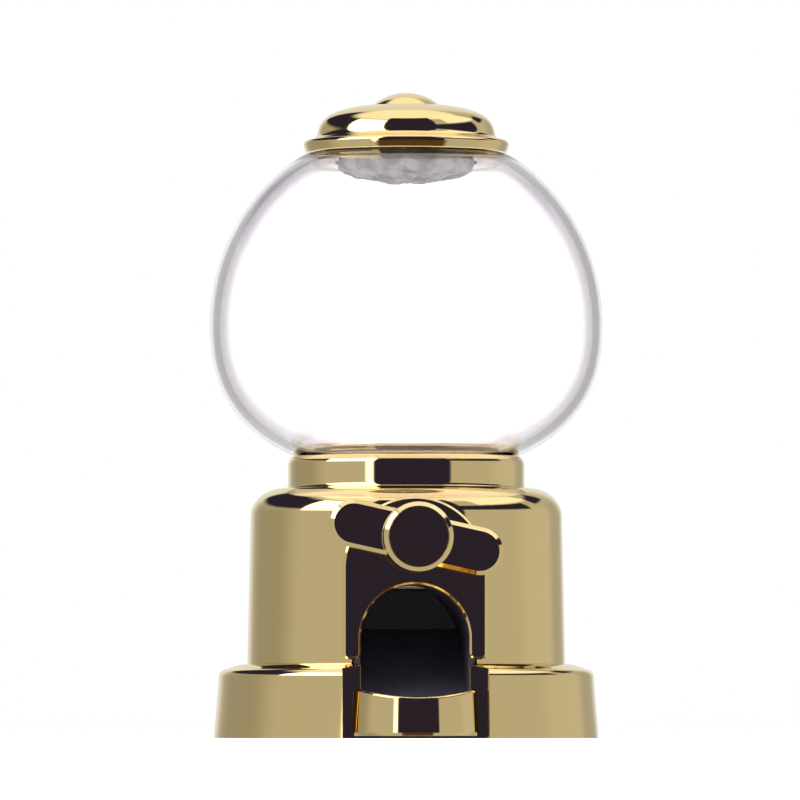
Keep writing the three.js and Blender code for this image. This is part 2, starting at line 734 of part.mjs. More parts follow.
function knob() {
  const straight = (knobLength - knobWidth) / 2;
  const end = knobWidth / 2;
  const outline = new THREE.Shape();
  outline.absarc(straight, 0, end, -Math.PI / 2, Math.PI / 2);
  outline.absarc(-straight, 0, end, Math.PI / 2, 1.5 * Math.PI);
  const bar = upright(outline, knobBack - knobThickness, knobBack, knobBevel);
  const hub = forward(turned([
    [0, -knobBack],
    [hubRadius, -knobBack],
    [hubRadius, -hubFace - hubBevelDepth],
    [hubRadius - hubBevelWidth, -hubFace],
    [0, -hubFace],
  ], mediumSides));
  const shaftBore = across(shaftRadius + threadGap, 0, shaftFront - gap, knobBack + past);
  const screwHole = across(knobScrewRadius + threadGap, 0, hubFace, knobBack, screwSides);
  const recess = across(capRadius + gap, 0, hubFace - past, knobScrewSeat, mediumSides);
  return cut(join(bar, hub), shaftBore, screwHole, recess);
}

const knobScrewSeat = hubFace + capThickness + screwHeadHeight + 2 * gap;

function driveShaft() {
  const groove = shaftRadius - grooveDepth;
  const clipFront = rearWallBack + bushingFlangeThickness + gap;
  const body = forward(turned([
    [0, -shaftBack],
    [shaftRadius - shaftChamfer, -shaftBack],
    [shaftRadius, -shaftBack + shaftChamfer],
    [shaftRadius, -clipFront - clipThickness - grooveSlack],
    [groove, -clipFront - clipThickness - grooveSlack],
    [groove, -clipFront + grooveSlack],
    [shaftRadius, -clipFront + grooveSlack],
    [shaftRadius, -shaftFront],
    [0, -shaftFront],
  ], smallSides));
  return cut(body, across(knobScrewRadius + threadGap, 0, shaftFront - past, shaftFront + shaftTapDepth,
    screwSides));
}

function meteringDrum() {
  const half = drumLength / 2;
  const barrel = across(drumRadius, shaftRadius + threadGap, -half, half, mediumSides);
  const pocketFloor = shaftRadius + threadGap + pocketSkin;
  const pocket = new THREE.SphereGeometry(pocketRadius, smallSides, 12)
    .translate(0, 0, pocketFloor + pocketRadius);
  return cut(barrel, pocket);
}

function shaftClip() {
  const front = rearWallBack + bushingFlangeThickness + gap;
  const back = front + clipThickness;
  const clipRing = across(shaftRadius + clipWidth, shaftRadius - clipBite, front, back);
  return cut(clipRing, block([-clipSlotHalf, clipSlotHalf], [front - past, back + past],
    [-shaftRadius - clipWidth - past, 0]));
}

const turning = new THREE.Group();
turning.position.z = shaftHeight;
machine.add(turning);
piece(turning, 'knob', knob(), goldPlated()).rotation.y = knobTilt;
piece(turning, 'knob_cap', across(capRadius, 0, hubFace, hubFace + capThickness, mediumSides),
  goldPlated());
const knobScrew = piece(turning, 'knob_screw', screw(knobScrewLength, knobScrewRadius), zincSteel());
knobScrew.position.y = knobScrewSeat - gap;
knobScrew.rotation.x = -Math.PI / 2;
piece(turning, 'drive_shaft', driveShaft(), zincSteel());
piece(turning, 'metering_drum', meteringDrum(), whitePlastic());
piece(turning, 'shaft_clip', shaftClip(), zincSteel());
piece(turning, 'thrust_washer', across(shaftRadius + washerWidth, shaftRadius + gap,
  plateFace - gap - washerThickness, plateFace - gap), nylon());

// ---- Collar, hopper and globe -----------------------------------------------------------

// Height above the widest level at which a superellipse has this radius.
function globeHeight(radius, halfWidth, halfHeight, power) {
  return halfHeight * (1 - (radius / halfWidth) ** power) ** (1 / power);
}

// Points of the curve from this radius out to the widest level.
function bulge(radius, halfWidth, halfHeight, power, steps) {
  const start = Math.acos((radius / halfWidth) ** (power / 2));
  return Array.from({ length: steps + 1 }, (_, i) => {
    const angle = start * (1 - i / steps);
    return [halfWidth * Math.cos(angle) ** (2 / power), halfHeight * Math.sin(angle) ** (2 / power)];
  });
}

// The globe's skin from the bottom neck to the filling neck, grown by offset.
function globeSkin(offset, neck, fillNeck, steps) {
  const lower = bulge(neck, globeRadius + offset, globeLower + offset, globeLowerPower, steps)
    .map(([radius, height]) => [radius, globeCentre - height]);
  const upper = bulge(fillNeck, globeRadius + offset, globeUpper + offset, 2, steps)
    .map(([radius, height]) => [radius, globeCentre + height]);
  return [...lower, ...upper.reverse().slice(1)];
}

const neckBottom = ledgeTop + gap;

function globe() {
  const outside = globeSkin(0, neckRadius, fillNeckRadius, 7);
  const inside = globeSkin(-globeWall, neckRadius - globeWall, fillNeckRadius - fillNeckWall, 6);
  return turned([
    [neckRadius, neckBottom],
    ...outside,
    [fillNeckRadius, fillNeckTop],
    [fillNeckRadius - fillNeckWall, fillNeckTop],
    ...inside.reverse(),
    [neckRadius - globeWall, neckBottom],
    [neckRadius, neckBottom],
  ]);
}

// The room that the globe takes in the collar and the lid.
function globeRoom() {
  return turned([
    [0, neckBottom - gap],
    [neckRadius + gap, neckBottom - gap],
    ...globeSkin(gap, neckRadius + gap, fillNeckRadius + gap, 7),
    [fillNeckRadius + gap, fillNeckTop + gap],
    [0, fillNeckTop + gap],
  ]);
}

function collar() {
  const top = collarBottom + collarHeight;
  const body = turned([
    [spigotBore, spigotBottom],
    [spigotRadius, spigotBottom],
    [spigotRadius, collarBottom],
    [collarRadius, collarBottom],
    ...arc(collarRadius - collarRounding, top - collarRounding, collarRounding, 0, 90, 3),
    [collarBore - collarLip, top],
    [collarBore - collarLip, ledgeTop],
    [spigotBore, ledgeTop],
    [spigotBore, spigotBottom],
  ]);
  return cut(body, globeRoom());
}

function hopper() {
  const flangeBottom = ledgeTop + gap;
  const flangeTop = flangeBottom + hopperWall;
  const flangeRadius = neckRadius - globeWall - gap;
  const coneRadius = spigotBore - gap;
  return turned([
    [flangeRadius, flangeBottom],
    [flangeRadius, flangeTop],
    [coneRadius, flangeTop],
    [hopperOutletRadius, flangeTop - hopperDrop],
    [hopperOutletRadius, flangeBottom - hopperDrop],
    [coneRadius - hopperStep, flangeBottom],
    [flangeRadius, flangeBottom],
  ], mediumSides);
}

const vessel = new THREE.Group();
machine.add(vessel);
piece(vessel, 'collar', collar(), goldPlated());
const nutTop = housingTop - wall - gap;
const bushingRoom = across(bushingRadius + bushingFlange + gap, 0, padBack, flangeBack + gap)
  .translate(0, 0, shaftHeight);
const padRoom = block([-padHalf - gap, padHalf + gap], [-housingRadius, padBack + gap],
  [nutTop - nutHeight - past, nutTop + past]);
const underShoulder = turned([
  [0, housingBottom],
  [innerRadius - gap, housingBottom],
  [topRadius - wall - gap, shoulderHeight],
  [topRadius - shoulderRadius - gap, housingTop - wall],
  [0, housingTop - wall],
]);
const nutRing = ring(spigotRadius + gap + nutWidth, spigotRadius + gap, nutTop - nutHeight, nutTop);
piece(vessel, 'collar_nut', cut(common(nutRing, underShoulder), bushingRoom, padRoom), blackPlastic());
piece(vessel, 'hopper', hopper(), whitePlastic());
piece(vessel, 'globe', globe(), clearPlastic());

// ---- Lid --------------------------------------------------------------------------------

function lid() {
  const dome = bulge(0, lidDomeRadius, lidDomeHeight, lidDomePower, 6)
    .map(([radius, height]) => [radius, domeFoot + height]);
  const rollCentre = lidBrimRadius - lidBrimRoll;
  const solid = turned([
    [0, brimHeight - lidBrimRoll],
    ...arc(rollCentre, brimHeight, lidBrimRoll, -90, 50, 3),
    ...dome.reverse(),
  ]);
  const hollowRadius = fillNeckRadius - hollowInset;
  const hollow = turned([
    [0, brimHeight - 2 * past],
    [hollowRadius, brimHeight - 2 * past],
    [hollowRadius, lidCeiling - hollowSlopeHeight],
    [hollowRadius - hollowSlopeWidth, lidCeiling],
    [0, lidCeiling],
  ]);
  const buttonSeat = ring(buttonRadius + gap, 0, buttonBase - gap, lidTop + past);
  const stemHole = ring(stemRadius + gap, 0, lidCeiling - past, buttonBase, smallSides);
  return cut(solid, globeRoom(), hollow, buttonSeat, stemHole);
}

function lidButton() {
  const dome = bulge(0, buttonRadius, buttonHeight, 2, 4)
    .map(([radius, height]) => [radius, buttonBase + height]);
  return turned([
    [0, lidCeiling + gap],
    [stemRadius, lidCeiling + gap],
    [stemRadius, buttonBase],
    ...dome.reverse(),
  ], mediumSides);
}

// A cup with a rounded bottom that stops the filling neck.
function lidPlug() {
  const bottom = fillNeckTop - plugDepth;
  const radius = fillNeckRadius - fillNeckWall - gap;
  const belly = (shrink) => bulge(0, radius - shrink, plugBelly, 2, 5)
    .map(([r, height]) => [r, bottom + plugBelly + shrink - height]);
  return turned([
    ...belly(0),
    [radius, lidCeiling - gap],
    [radius - plugWall, lidCeiling - gap],
    ...belly(plugWall).reverse(),
  ], mediumSides);
}

const cover = new THREE.Group();
machine.add(cover);
piece(cover, 'lid', lid(), goldPlated());
piece(cover, 'lid_button', lidButton(), goldPlated());
piece(cover, 'lid_plug', lidPlug(), greyPlug());

export default machine;
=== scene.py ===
"""A small gold sweet dispenser with a clear globe, dressed for a studio picture.

Every size that the model shares with the frame is read from it; the sizes kept here, in
millimetres, are the roundings and details that only the fine surface has.
"""
import logging
import math
import random
from dataclasses import dataclass, field
from enum import Enum
from typing import Any, Callable, Sequence

import bmesh
import bpy
from mathutils import Matrix, Vector, noise


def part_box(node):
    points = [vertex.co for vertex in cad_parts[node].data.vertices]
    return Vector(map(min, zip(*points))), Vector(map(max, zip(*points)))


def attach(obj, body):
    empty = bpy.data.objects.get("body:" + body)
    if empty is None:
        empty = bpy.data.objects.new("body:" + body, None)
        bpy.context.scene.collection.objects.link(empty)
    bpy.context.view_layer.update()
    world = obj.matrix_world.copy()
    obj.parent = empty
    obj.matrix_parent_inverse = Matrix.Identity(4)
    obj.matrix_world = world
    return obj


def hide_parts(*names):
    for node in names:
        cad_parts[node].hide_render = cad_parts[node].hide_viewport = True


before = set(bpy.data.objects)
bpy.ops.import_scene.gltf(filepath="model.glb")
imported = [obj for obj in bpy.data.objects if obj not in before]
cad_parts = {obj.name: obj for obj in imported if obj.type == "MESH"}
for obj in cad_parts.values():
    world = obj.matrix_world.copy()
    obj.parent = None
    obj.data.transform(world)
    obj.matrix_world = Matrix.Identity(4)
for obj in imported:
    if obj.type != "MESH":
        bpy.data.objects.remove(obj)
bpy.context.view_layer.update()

log = logging.getLogger("dispenser")
MM = 0.001
GAP = 0.3                 # between neighbouring pieces
PAST = 1.0                # how far a cutter runs past what it cuts
ROUND = 224               # facets of a turned surface
FINE = 128                # facets of a middling one
SMALL = 96                # facets of a small one
ON_AXIS = 1e-6            # a radius that counts as none
SMOOTH_ANGLE = math.radians(28)
SEED = 7

Point = tuple[float, float]
Profile = list[Point]


class Axis(Enum):
    """The line that a turned piece is turned about."""

    UP = "up"
    FORWARD = "forward"


class Body(Enum):
    """The moving bodies of the frame."""

    MACHINE = "machine"
    LID = "lid"
    KNOB = "knob"


@dataclass(frozen=True)
class Extent:
    """A frame node's box at rest, in millimetres."""

    low: Vector
    high: Vector

    @classmethod
    def of(cls, node: str) -> "Extent":
        """Reads the box of one node."""
        low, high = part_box(node)
        return cls(Vector(low) / MM, Vector(high) / MM)

    @property
    def centre(self) -> Vector:
        """The middle of the box."""
        return (self.low + self.high) / 2

    @property
    def size(self) -> Vector:
        """The lengths of the box's sides."""
        return self.high - self.low


# ---- Profiles and outlines ------------------------------------------------------------


def arc(centre: Point, radius: float, start: float, end: float, steps: int = 8,
        rise: float | None = None) -> Profile:
    """Points of a circular or elliptic arc.

    Args:
        centre: The arc's centre.
        radius: Its radius, or its half-width.
        start: First angle in degrees, from the outward direction.
        end: Last angle in degrees.
        steps: Number of chords.
        rise: Its half-height, where that isn't the radius.

    Returns:
        The points from start to end.
    """
    tall = radius if rise is None else rise
    angles = [math.radians(start + (end - start) * i / steps) for i in range(steps + 1)]
    return [(centre[0] + radius * math.cos(a), centre[1] + tall * math.sin(a)) for a in angles]


def bulge(radius: float, half_width: float, half_height: float, power: float, steps: int) -> Profile:
    """Points of a superellipse from a given radius out to its widest level.

    Args:
        radius: Where the curve starts.
        half_width: The radius at the widest level.
        half_height: The full rise at the axis.
        power: 2 is an ellipse, and more is squarer.
        steps: Number of chords.

    Returns:
        Points of radius and rise, the widest level last.
    """
    start = math.acos((radius / half_width) ** (power / 2))
    angles = [start * (1 - i / steps) for i in range(steps + 1)]
    return [
        (half_width * math.cos(a) ** (2 / power), half_height * math.sin(a) ** (2 / power))
        for a in angles
    ]


def softened(profile: Profile, radius: float, steps: int = 4) -> Profile:
    """Rounds the corners of a closed profile.

    Args:
        profile: Corner points in order, not repeated at the end.
        radius: The longest rounding; short sides get less.
        steps: Number of chords at each corner.

    Returns:
        The rounded profile.
    """
    side_share, straight = 0.45, math.radians(165)
    rounded: Profile = []
    count = len(profile)
    for i, corner in enumerate(profile):
        here = Vector(corner)
        before = Vector(profile[i - 1]) - here
        after = Vector(profile[(i + 1) % count]) - here
        reach = min(radius, before.length * side_share, after.length * side_share)
        turn = before.angle(after) if before.length > 0 and after.length > 0 else math.pi
        if turn > straight or here.x < ON_AXIS:
            rounded.append(corner)
            continue
        start, end = here + before.normalized() * reach, here + after.normalized() * reach
        for k in range(steps + 1):
            t = k / steps
            point = start.lerp(here, t).lerp(here.lerp(end, t), t)
            rounded.append((point.x, point.y))
    return rounded


def arch(half: float, bottom: float, top: float, steps: int = 48) -> Profile:
    """An outline with straight sides and a half-round top."""
    return [(-half, bottom), (half, bottom), *arc((0, top - half), half, 0, 180, steps)]


def inset(outline: Profile, distance: float) -> Profile:
    """Moves a closed outline inwards.

    Args:
        outline: Points anticlockwise, not repeated at the end.
        distance: How far in each side goes.

    Returns:
        The same number of points.
    """
    sharpest = 0.4            # limits how far a sharp corner moves
    moved: Profile = []
    count = len(outline)
    for i, corner in enumerate(outline):
        here = Vector(corner)
        before = (here - Vector(outline[i - 1])).normalized()
        after = (Vector(outline[(i + 1) % count]) - here).normalized()
        normal = Vector((-before.y - after.y, before.x + after.x)).normalized()
        miter = max(sharpest, normal.dot(Vector((-before.y, before.x))))
        moved.append(tuple(here + normal * (distance / miter)))
    return moved


# ---- Meshes ---------------------------------------------------------------------------


def to_object(name: str, mesh: bmesh.types.BMesh) -> bpy.types.Object:
    """Makes an object of a mesh given in millimetres, and frees the mesh.

    Args:
        name: The object's name.
        mesh: The mesh, at its place.

    Returns:
        The object, its faces turned outwards.
    """
    bmesh.ops.remove_doubles(mesh, verts=mesh.verts, dist=1e-5)
    bmesh.ops.recalc_face_normals(mesh, faces=mesh.faces)
    mesh.transform(Matrix.Scale(MM, 4))
    data = bpy.data.meshes.new(name)
    mesh.to_mesh(data)
    mesh.free()
    obj = bpy.data.objects.new(name, data)
    bpy.context.scene.collection.objects.link(obj)
    return obj


def turned(
    name: str,
    profile: Profile,
    axis: Axis = Axis.UP,
    origin: Sequence[float] = (0, 0, 0),
    sides: int = ROUND,
    wobble: Callable[[float, float, float], Point] | None = None,
) -> bpy.types.Object:
    """Turns a profile of radius and height about an axis.

    Args:
        name: The object's name.
        profile: Points that close on themselves, or run from axis to axis.
        axis: Upwards, or forward along -Y.
        origin: Where height 0 of the axis is, in millimetres.
        sides: Facets round the axis.
        wobble: Gives radius and height for a radius, a height and an angle.

    Returns:
        The closed mesh object.
    """
    mesh = bmesh.new()
    rings: list[list[bmesh.types.BMVert]] = []
    for radius, height in profile:
        around = 1 if radius < ON_AXIS else sides
        ring = []
        for k in range(around):
            angle = 2 * math.pi * k / sides
            r, z = wobble(radius, height, angle) if wobble and around > 1 else (radius, height)
            ring.append(mesh.verts.new((r * math.cos(angle), r * math.sin(angle), z)))
        rings.append(ring)
    open_ended = profile[0][0] < ON_AXIS
    pairs = zip(rings[:-1], rings[1:]) if open_ended else zip(rings, rings[1:] + rings[:1])
    for low, high in pairs:
        for k in range(sides):
            corners = [low[k % len(low)], low[(k + 1) % len(low)],
                       high[(k + 1) % len(high)], high[k % len(high)]]
            unique = list(dict.fromkeys(corners))
            if len(unique) > 2:
                mesh.faces.new(unique)
    if axis is Axis.FORWARD:
        mesh.transform(Matrix.Rotation(math.pi / 2, 4, "X"))
    mesh.transform(Matrix.Translation(Vector(origin)))
    return to_object(name, mesh)


def slab(name: str, outline: Profile, front: float, back: float,
         bevel: float = 0.0) -> bpy.types.Object:
    """An upright plate with a bevelled front edge.

    Args:
        name: The object's name.
        outline: Its outline in X and Z, anticlockwise from the front.
        front: Y of its face.
        back: Y of its back.
        bevel: Width of the bevel, at 45 degrees.

    Returns:
        The closed mesh object.
    """
    mesh = bmesh.new()
    layers = [(0.0, back), (0.0, front + bevel)]
    if bevel:
        layers.append((bevel, front))
    rings = [[mesh.verts.new((x, y, z)) for x, z in inset(outline, shrink)] for shrink, y in layers]
    count = len(outline)
    for near, far in zip(rings[:-1], rings[1:]):
        for k in range(count):
            mesh.faces.new((near[k], near[(k + 1) % count], far[(k + 1) % count], far[k]))
    mesh.faces.new(rings[0])
    mesh.faces.new(rings[-1])
    return to_object(name, mesh)


def box(name: str, low: Sequence[float], high: Sequence[float]) -> bpy.types.Object:
    """A plain block, for cutting with.

    Args:
        name: The object's name.
        low: Its lowest corner, in millimetres.
        high: Its highest corner.

    Returns:
        The closed mesh object.
    """
    mesh = bmesh.new()
    bmesh.ops.create_cube(mesh, size=1)
    low_v, high_v = Vector(low), Vector(high)
    mesh.transform(Matrix.Translation((low_v + high_v) / 2) @ Matrix.Diagonal((*(high_v - low_v), 1)))
    return to_object(name, mesh)


def prism(name: str, outline: Profile, half: float) -> bpy.types.Object:
    """A block with a given side view, for cutting with.

    Args:
        name: The object's name.
        outline: Its outline in Y and Z.
        half: Half its width, in X.

    Returns:
        The closed mesh object.
    """
    mesh = bmesh.new()
    left = [mesh.verts.new((-half, y, z)) for y, z in outline]
    right = [mesh.verts.new((half, y, z)) for y, z in outline]
    count = len(outline)
    for k in range(count):
        mesh.faces.new((left[k], left[(k + 1) % count], right[(k + 1) % count], right[k]))
    mesh.faces.new(left)
    mesh.faces.new(right)
    return to_object(name, mesh)


def bake(obj: bpy.types.Object) -> bpy.types.Object:
    """Replaces an object's mesh with the result of its modifiers, and removes them.

    Args:
        obj: The object.

    Returns:
        The same object.
    """
    graph = bpy.context.evaluated_depsgraph_get()
    graph.update()
    result = bpy.data.meshes.new_from_object(obj.evaluated_get(graph), depsgraph=graph)
    old = obj.data
    obj.modifiers.clear()
    obj.data = result
    result.name = obj.name
    bpy.data.meshes.remove(old)
    return obj


def discard(obj: bpy.types.Object) -> None:
    """Deletes an object and its mesh."""
    data = obj.data
    bpy.data.objects.remove(obj)
    bpy.data.meshes.remove(data)


def combine(obj: bpy.types.Object, operation: str, *others: bpy.types.Object) -> bpy.types.Object:
    """Joins, cuts or intersects an object with others, which are used up.

    Args:
        obj: The object that stays.
        operation: UNION, DIFFERENCE or INTERSECT.
        others: The objects that shape it.

    Returns:
        The same object with its new mesh.
    """
    for other in others:
        change = obj.modifiers.new(operation.title(), "BOOLEAN")
        change.operation = operation
        change.solver = "EXACT"
        change.object = other
    bake(obj)
    for other in others:
        discard(other)
    return obj


# ---- Nodes and finishes ---------------------------------------------------------------


def linear(hex_colour: str) -> tuple[float, float, float, float]:
    """Turns an sRGB hex colour into linear RGBA."""
    channels = [int(hex_colour[i:i + 2], 16) / 255 for i in (1, 3, 5)]    # red, green, blue
    return (*[c / 12.92 if c <= 0.04045 else ((c + 0.055) / 1.055) ** 2.4 for c in channels], 1.0)


def add(tree: bpy.types.NodeTree, kind: str, inputs: dict[Any, Any] | None = None,
        **settings: Any) -> bpy.types.Node:
    """Adds a node with its settings, values and links.

    Args:
        tree: The tree it joins.
        kind: The node's type name.
        inputs: Values, sockets, or nodes for their first output, by input name or number.
        settings: The node's own properties.

    Returns:
        The new node.
    """
    node = tree.nodes.new(kind)
    for key, value in settings.items():
        setattr(node, key, value)
    for key, value in (inputs or {}).items():
        if isinstance(value, bpy.types.Node):
            value = value.outputs[0]
        if isinstance(value, bpy.types.NodeSocket):
            tree.links.new(value, node.inputs[key])
        else:
            node.inputs[key].default_value = value
    return node


@dataclass(frozen=True)
class Finish:
    """A material with a base colour, a roughness that varies, and a fine relief.

    Attributes:
        name: What it is and how its surface was made.
        slot: The record's material slot. Not used.
        colour: sRGB hex.
        roughness: Lowest and highest roughness.
        grain: Size of the roughness and relief pattern, in millimetres.
        relief: Height of the relief, in millimetres.
        metallic: 1 for a metal.
        ior: Index of refraction of a plastic.
        transmission: 1 for a clear plastic.
        edge: Radius of worn edges, in millimetres.
        tint: A second colour for cloudy variation, or none.
        depth: How fast a clear plastic takes up light, per metre.
        shade: What a clear plastic lets through of a lamp's light.
    """

    name: str
    slot: str
    colour: str
    roughness: tuple[float, float]
    grain: float
    relief: float
    metallic: float = 0.0
    ior: float = 1.5
    transmission: float = 0.0
    edge: float = 0.0
    tint: str = ""
    depth: float = 0.0
    shade: tuple[float, float, float] = (0.93, 0.93, 0.94)

    def material(self) -> bpy.types.Material:
        """Builds the material, or finds it if it is there.

        Returns:
            The material.
        """
        made = bpy.data.materials.get(self.name)
        if made:
            return made
        made = bpy.data.materials.new(self.name)
        made.use_nodes = True
        tree = made.node_tree
        tree.nodes.clear()
        place = add(tree, "ShaderNodeTexCoord").outputs["Object"]
        scale = 1 / (self.grain * MM)
        grain = add(tree, "ShaderNodeTexNoise", {"Vector": place, "Scale": scale, "Detail": 3.0})
        rough = add(tree, "ShaderNodeMapRange", {
            "Value": grain.outputs["Fac"], "From Min": 0.3, "From Max": 0.7,
            "To Min": self.roughness[0], "To Max": self.roughness[1]})
        values: dict[Any, Any] = {
            "Base Color": linear(self.colour), "Metallic": self.metallic,
            "Roughness": rough.outputs["Result"], "Transmission Weight": self.transmission}
        if not self.metallic:
            values["IOR"] = self.ior
        relief: dict[Any, Any] = {"Height": grain.outputs["Fac"], "Distance": self.relief * MM,
                                  "Strength": 1.0}
        if self.edge:
            rounded = add(tree, "ShaderNodeBevel", {"Radius": self.edge * MM}, samples=6)
            relief["Normal"] = rounded.outputs["Normal"]
        values["Normal"] = add(tree, "ShaderNodeBump", relief).outputs["Normal"]
        if self.tint and not self.transmission:
            cloud = add(tree, "ShaderNodeTexNoise", {"Vector": place, "Scale": scale / 4, "Detail": 3.0})
            patch = add(tree, "ShaderNodeMapRange", {
                "Value": cloud.outputs["Fac"], "From Min": 0.4, "From Max": 0.62})
            blend = add(tree, "ShaderNodeMix", {
                "Factor": patch.outputs["Result"], 6: linear(self.colour), 7: linear(self.tint)},
                data_type="RGBA")
            values["Base Color"] = blend.outputs[2]
        surface = add(tree, "ShaderNodeBsdfPrincipled", values).outputs["BSDF"]
        ends: dict[Any, Any] = {"Surface": surface}
        if self.transmission:
            ends["Surface"] = self.lamps_through(tree, surface)
            body = add(tree, "ShaderNodeVolumeAbsorption", {
                "Color": linear(self.tint), "Density": self.depth})
            ends["Volume"] = body.outputs["Volume"]
        add(tree, "ShaderNodeOutputMaterial", ends)
        return made

    def lamps_through(self, tree: bpy.types.NodeTree,
                      surface: bpy.types.NodeSocket) -> bpy.types.NodeSocket:
        """Lets lamps shine through a clear shell, which would otherwise cast a solid shadow.

        Args:
            tree: The material's tree.
            surface: The shell's own shader.

        Returns:
            The shader to show.
        """
        path = add(tree, "ShaderNodeLightPath")
        clear = add(tree, "ShaderNodeBsdfTransparent", {"Color": (*self.shade, 1.0)})
        return add(tree, "ShaderNodeMixShader", {
            0: path.outputs["Is Shadow Ray"], 1: surface, 2: clear.outputs["BSDF"]}).outputs["Shader"]


# Metallised under vacuum over gloss-moulded ABS: a mirror with the faint waviness of the moulding.
GOLD = Finish("vacuum_metallised_gold_ABS", "gold_plating", "#FAE0A0", (0.03, 0.07), 7.0, 0.0035,
              metallic=1.0, edge=0.12)
# Clear gloss-moulded polystyrene: sharp reflections, slight flow waves, and a wall that looks
# grey-mauve where the eye meets it edge on.
CLEAR = Finish("clear_moulded_polystyrene", "clear_plastic", "#FDFCFD", (0.0, 0.02), 9.0, 0.004,
               ior=1.57, transmission=1.0, tint="#D9CDD8", depth=90.0)
# Black ABS from a polished mould, slightly hazy.
BLACK = Finish("black_moulded_ABS", "black_plastic", "#4A4553", (0.38, 0.48), 0.8, 0.002, edge=0.15)
# White acetal, satin from a spark-eroded mould.
WHITE = Finish("white_spark_textured_acetal", "white_plastic", "#E9E6DE", (0.34, 0.5), 0.5, 0.006,
               ior=1.48, edge=0.15)
# Soft polyethylene with flash and scuffs, cloudy grey.
PLUG = Finish("grey_trimmed_polyethylene", "grey_plug", "#D2CDC9", (0.5, 0.8), 0.7, 0.11,
              ior=1.51, tint="#918C8A")
# Natural nylon, faintly yellow and matt.
NYLON = Finish("natural_moulded_nylon", "nylon", "#DCD6C4", (0.4, 0.55), 0.6, 0.005, ior=1.53)
# Steel with bright zinc plating: metallic, softly blurred.
ZINC = Finish("bright_zinc_plated_steel", "zinc_steel", "#C6CACE", (0.22, 0.36), 0.4, 0.002,
              metallic=1.0, edge=0.08)


def complete(obj: bpy.types.Object, finish: Finish, body: Body, *nodes: str) -> bpy.types.Object:
    """Dresses a piece and ties it to the frame.

    Args:
        obj: The piece.
        finish: Its finish.
        body: The body it rides on.
        nodes: The frame nodes that it stands for.

    Returns:
        The piece.
    """
    obj.data.materials.clear()
    obj.data.materials.append(finish.material())
    obj.data.polygons.foreach_set("use_smooth", [True] * len(obj.data.polygons))
    obj.data.polygons.foreach_set("material_index", [0] * len(obj.data.polygons))
    obj.data.set_sharp_from_angle(angle=SMOOTH_ANGLE)
    even = obj.modifiers.new("Even", "WEIGHTED_NORMAL")
    even.keep_sharp = True
    bake(obj)
    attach(obj, body.value)
    if nodes:
        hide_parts(*nodes)
    log.info("%s: %d faces, %s", obj.name, len(obj.data.polygons), finish.name)
    return obj


# ---- Base -----------------------------------------------------------------------------


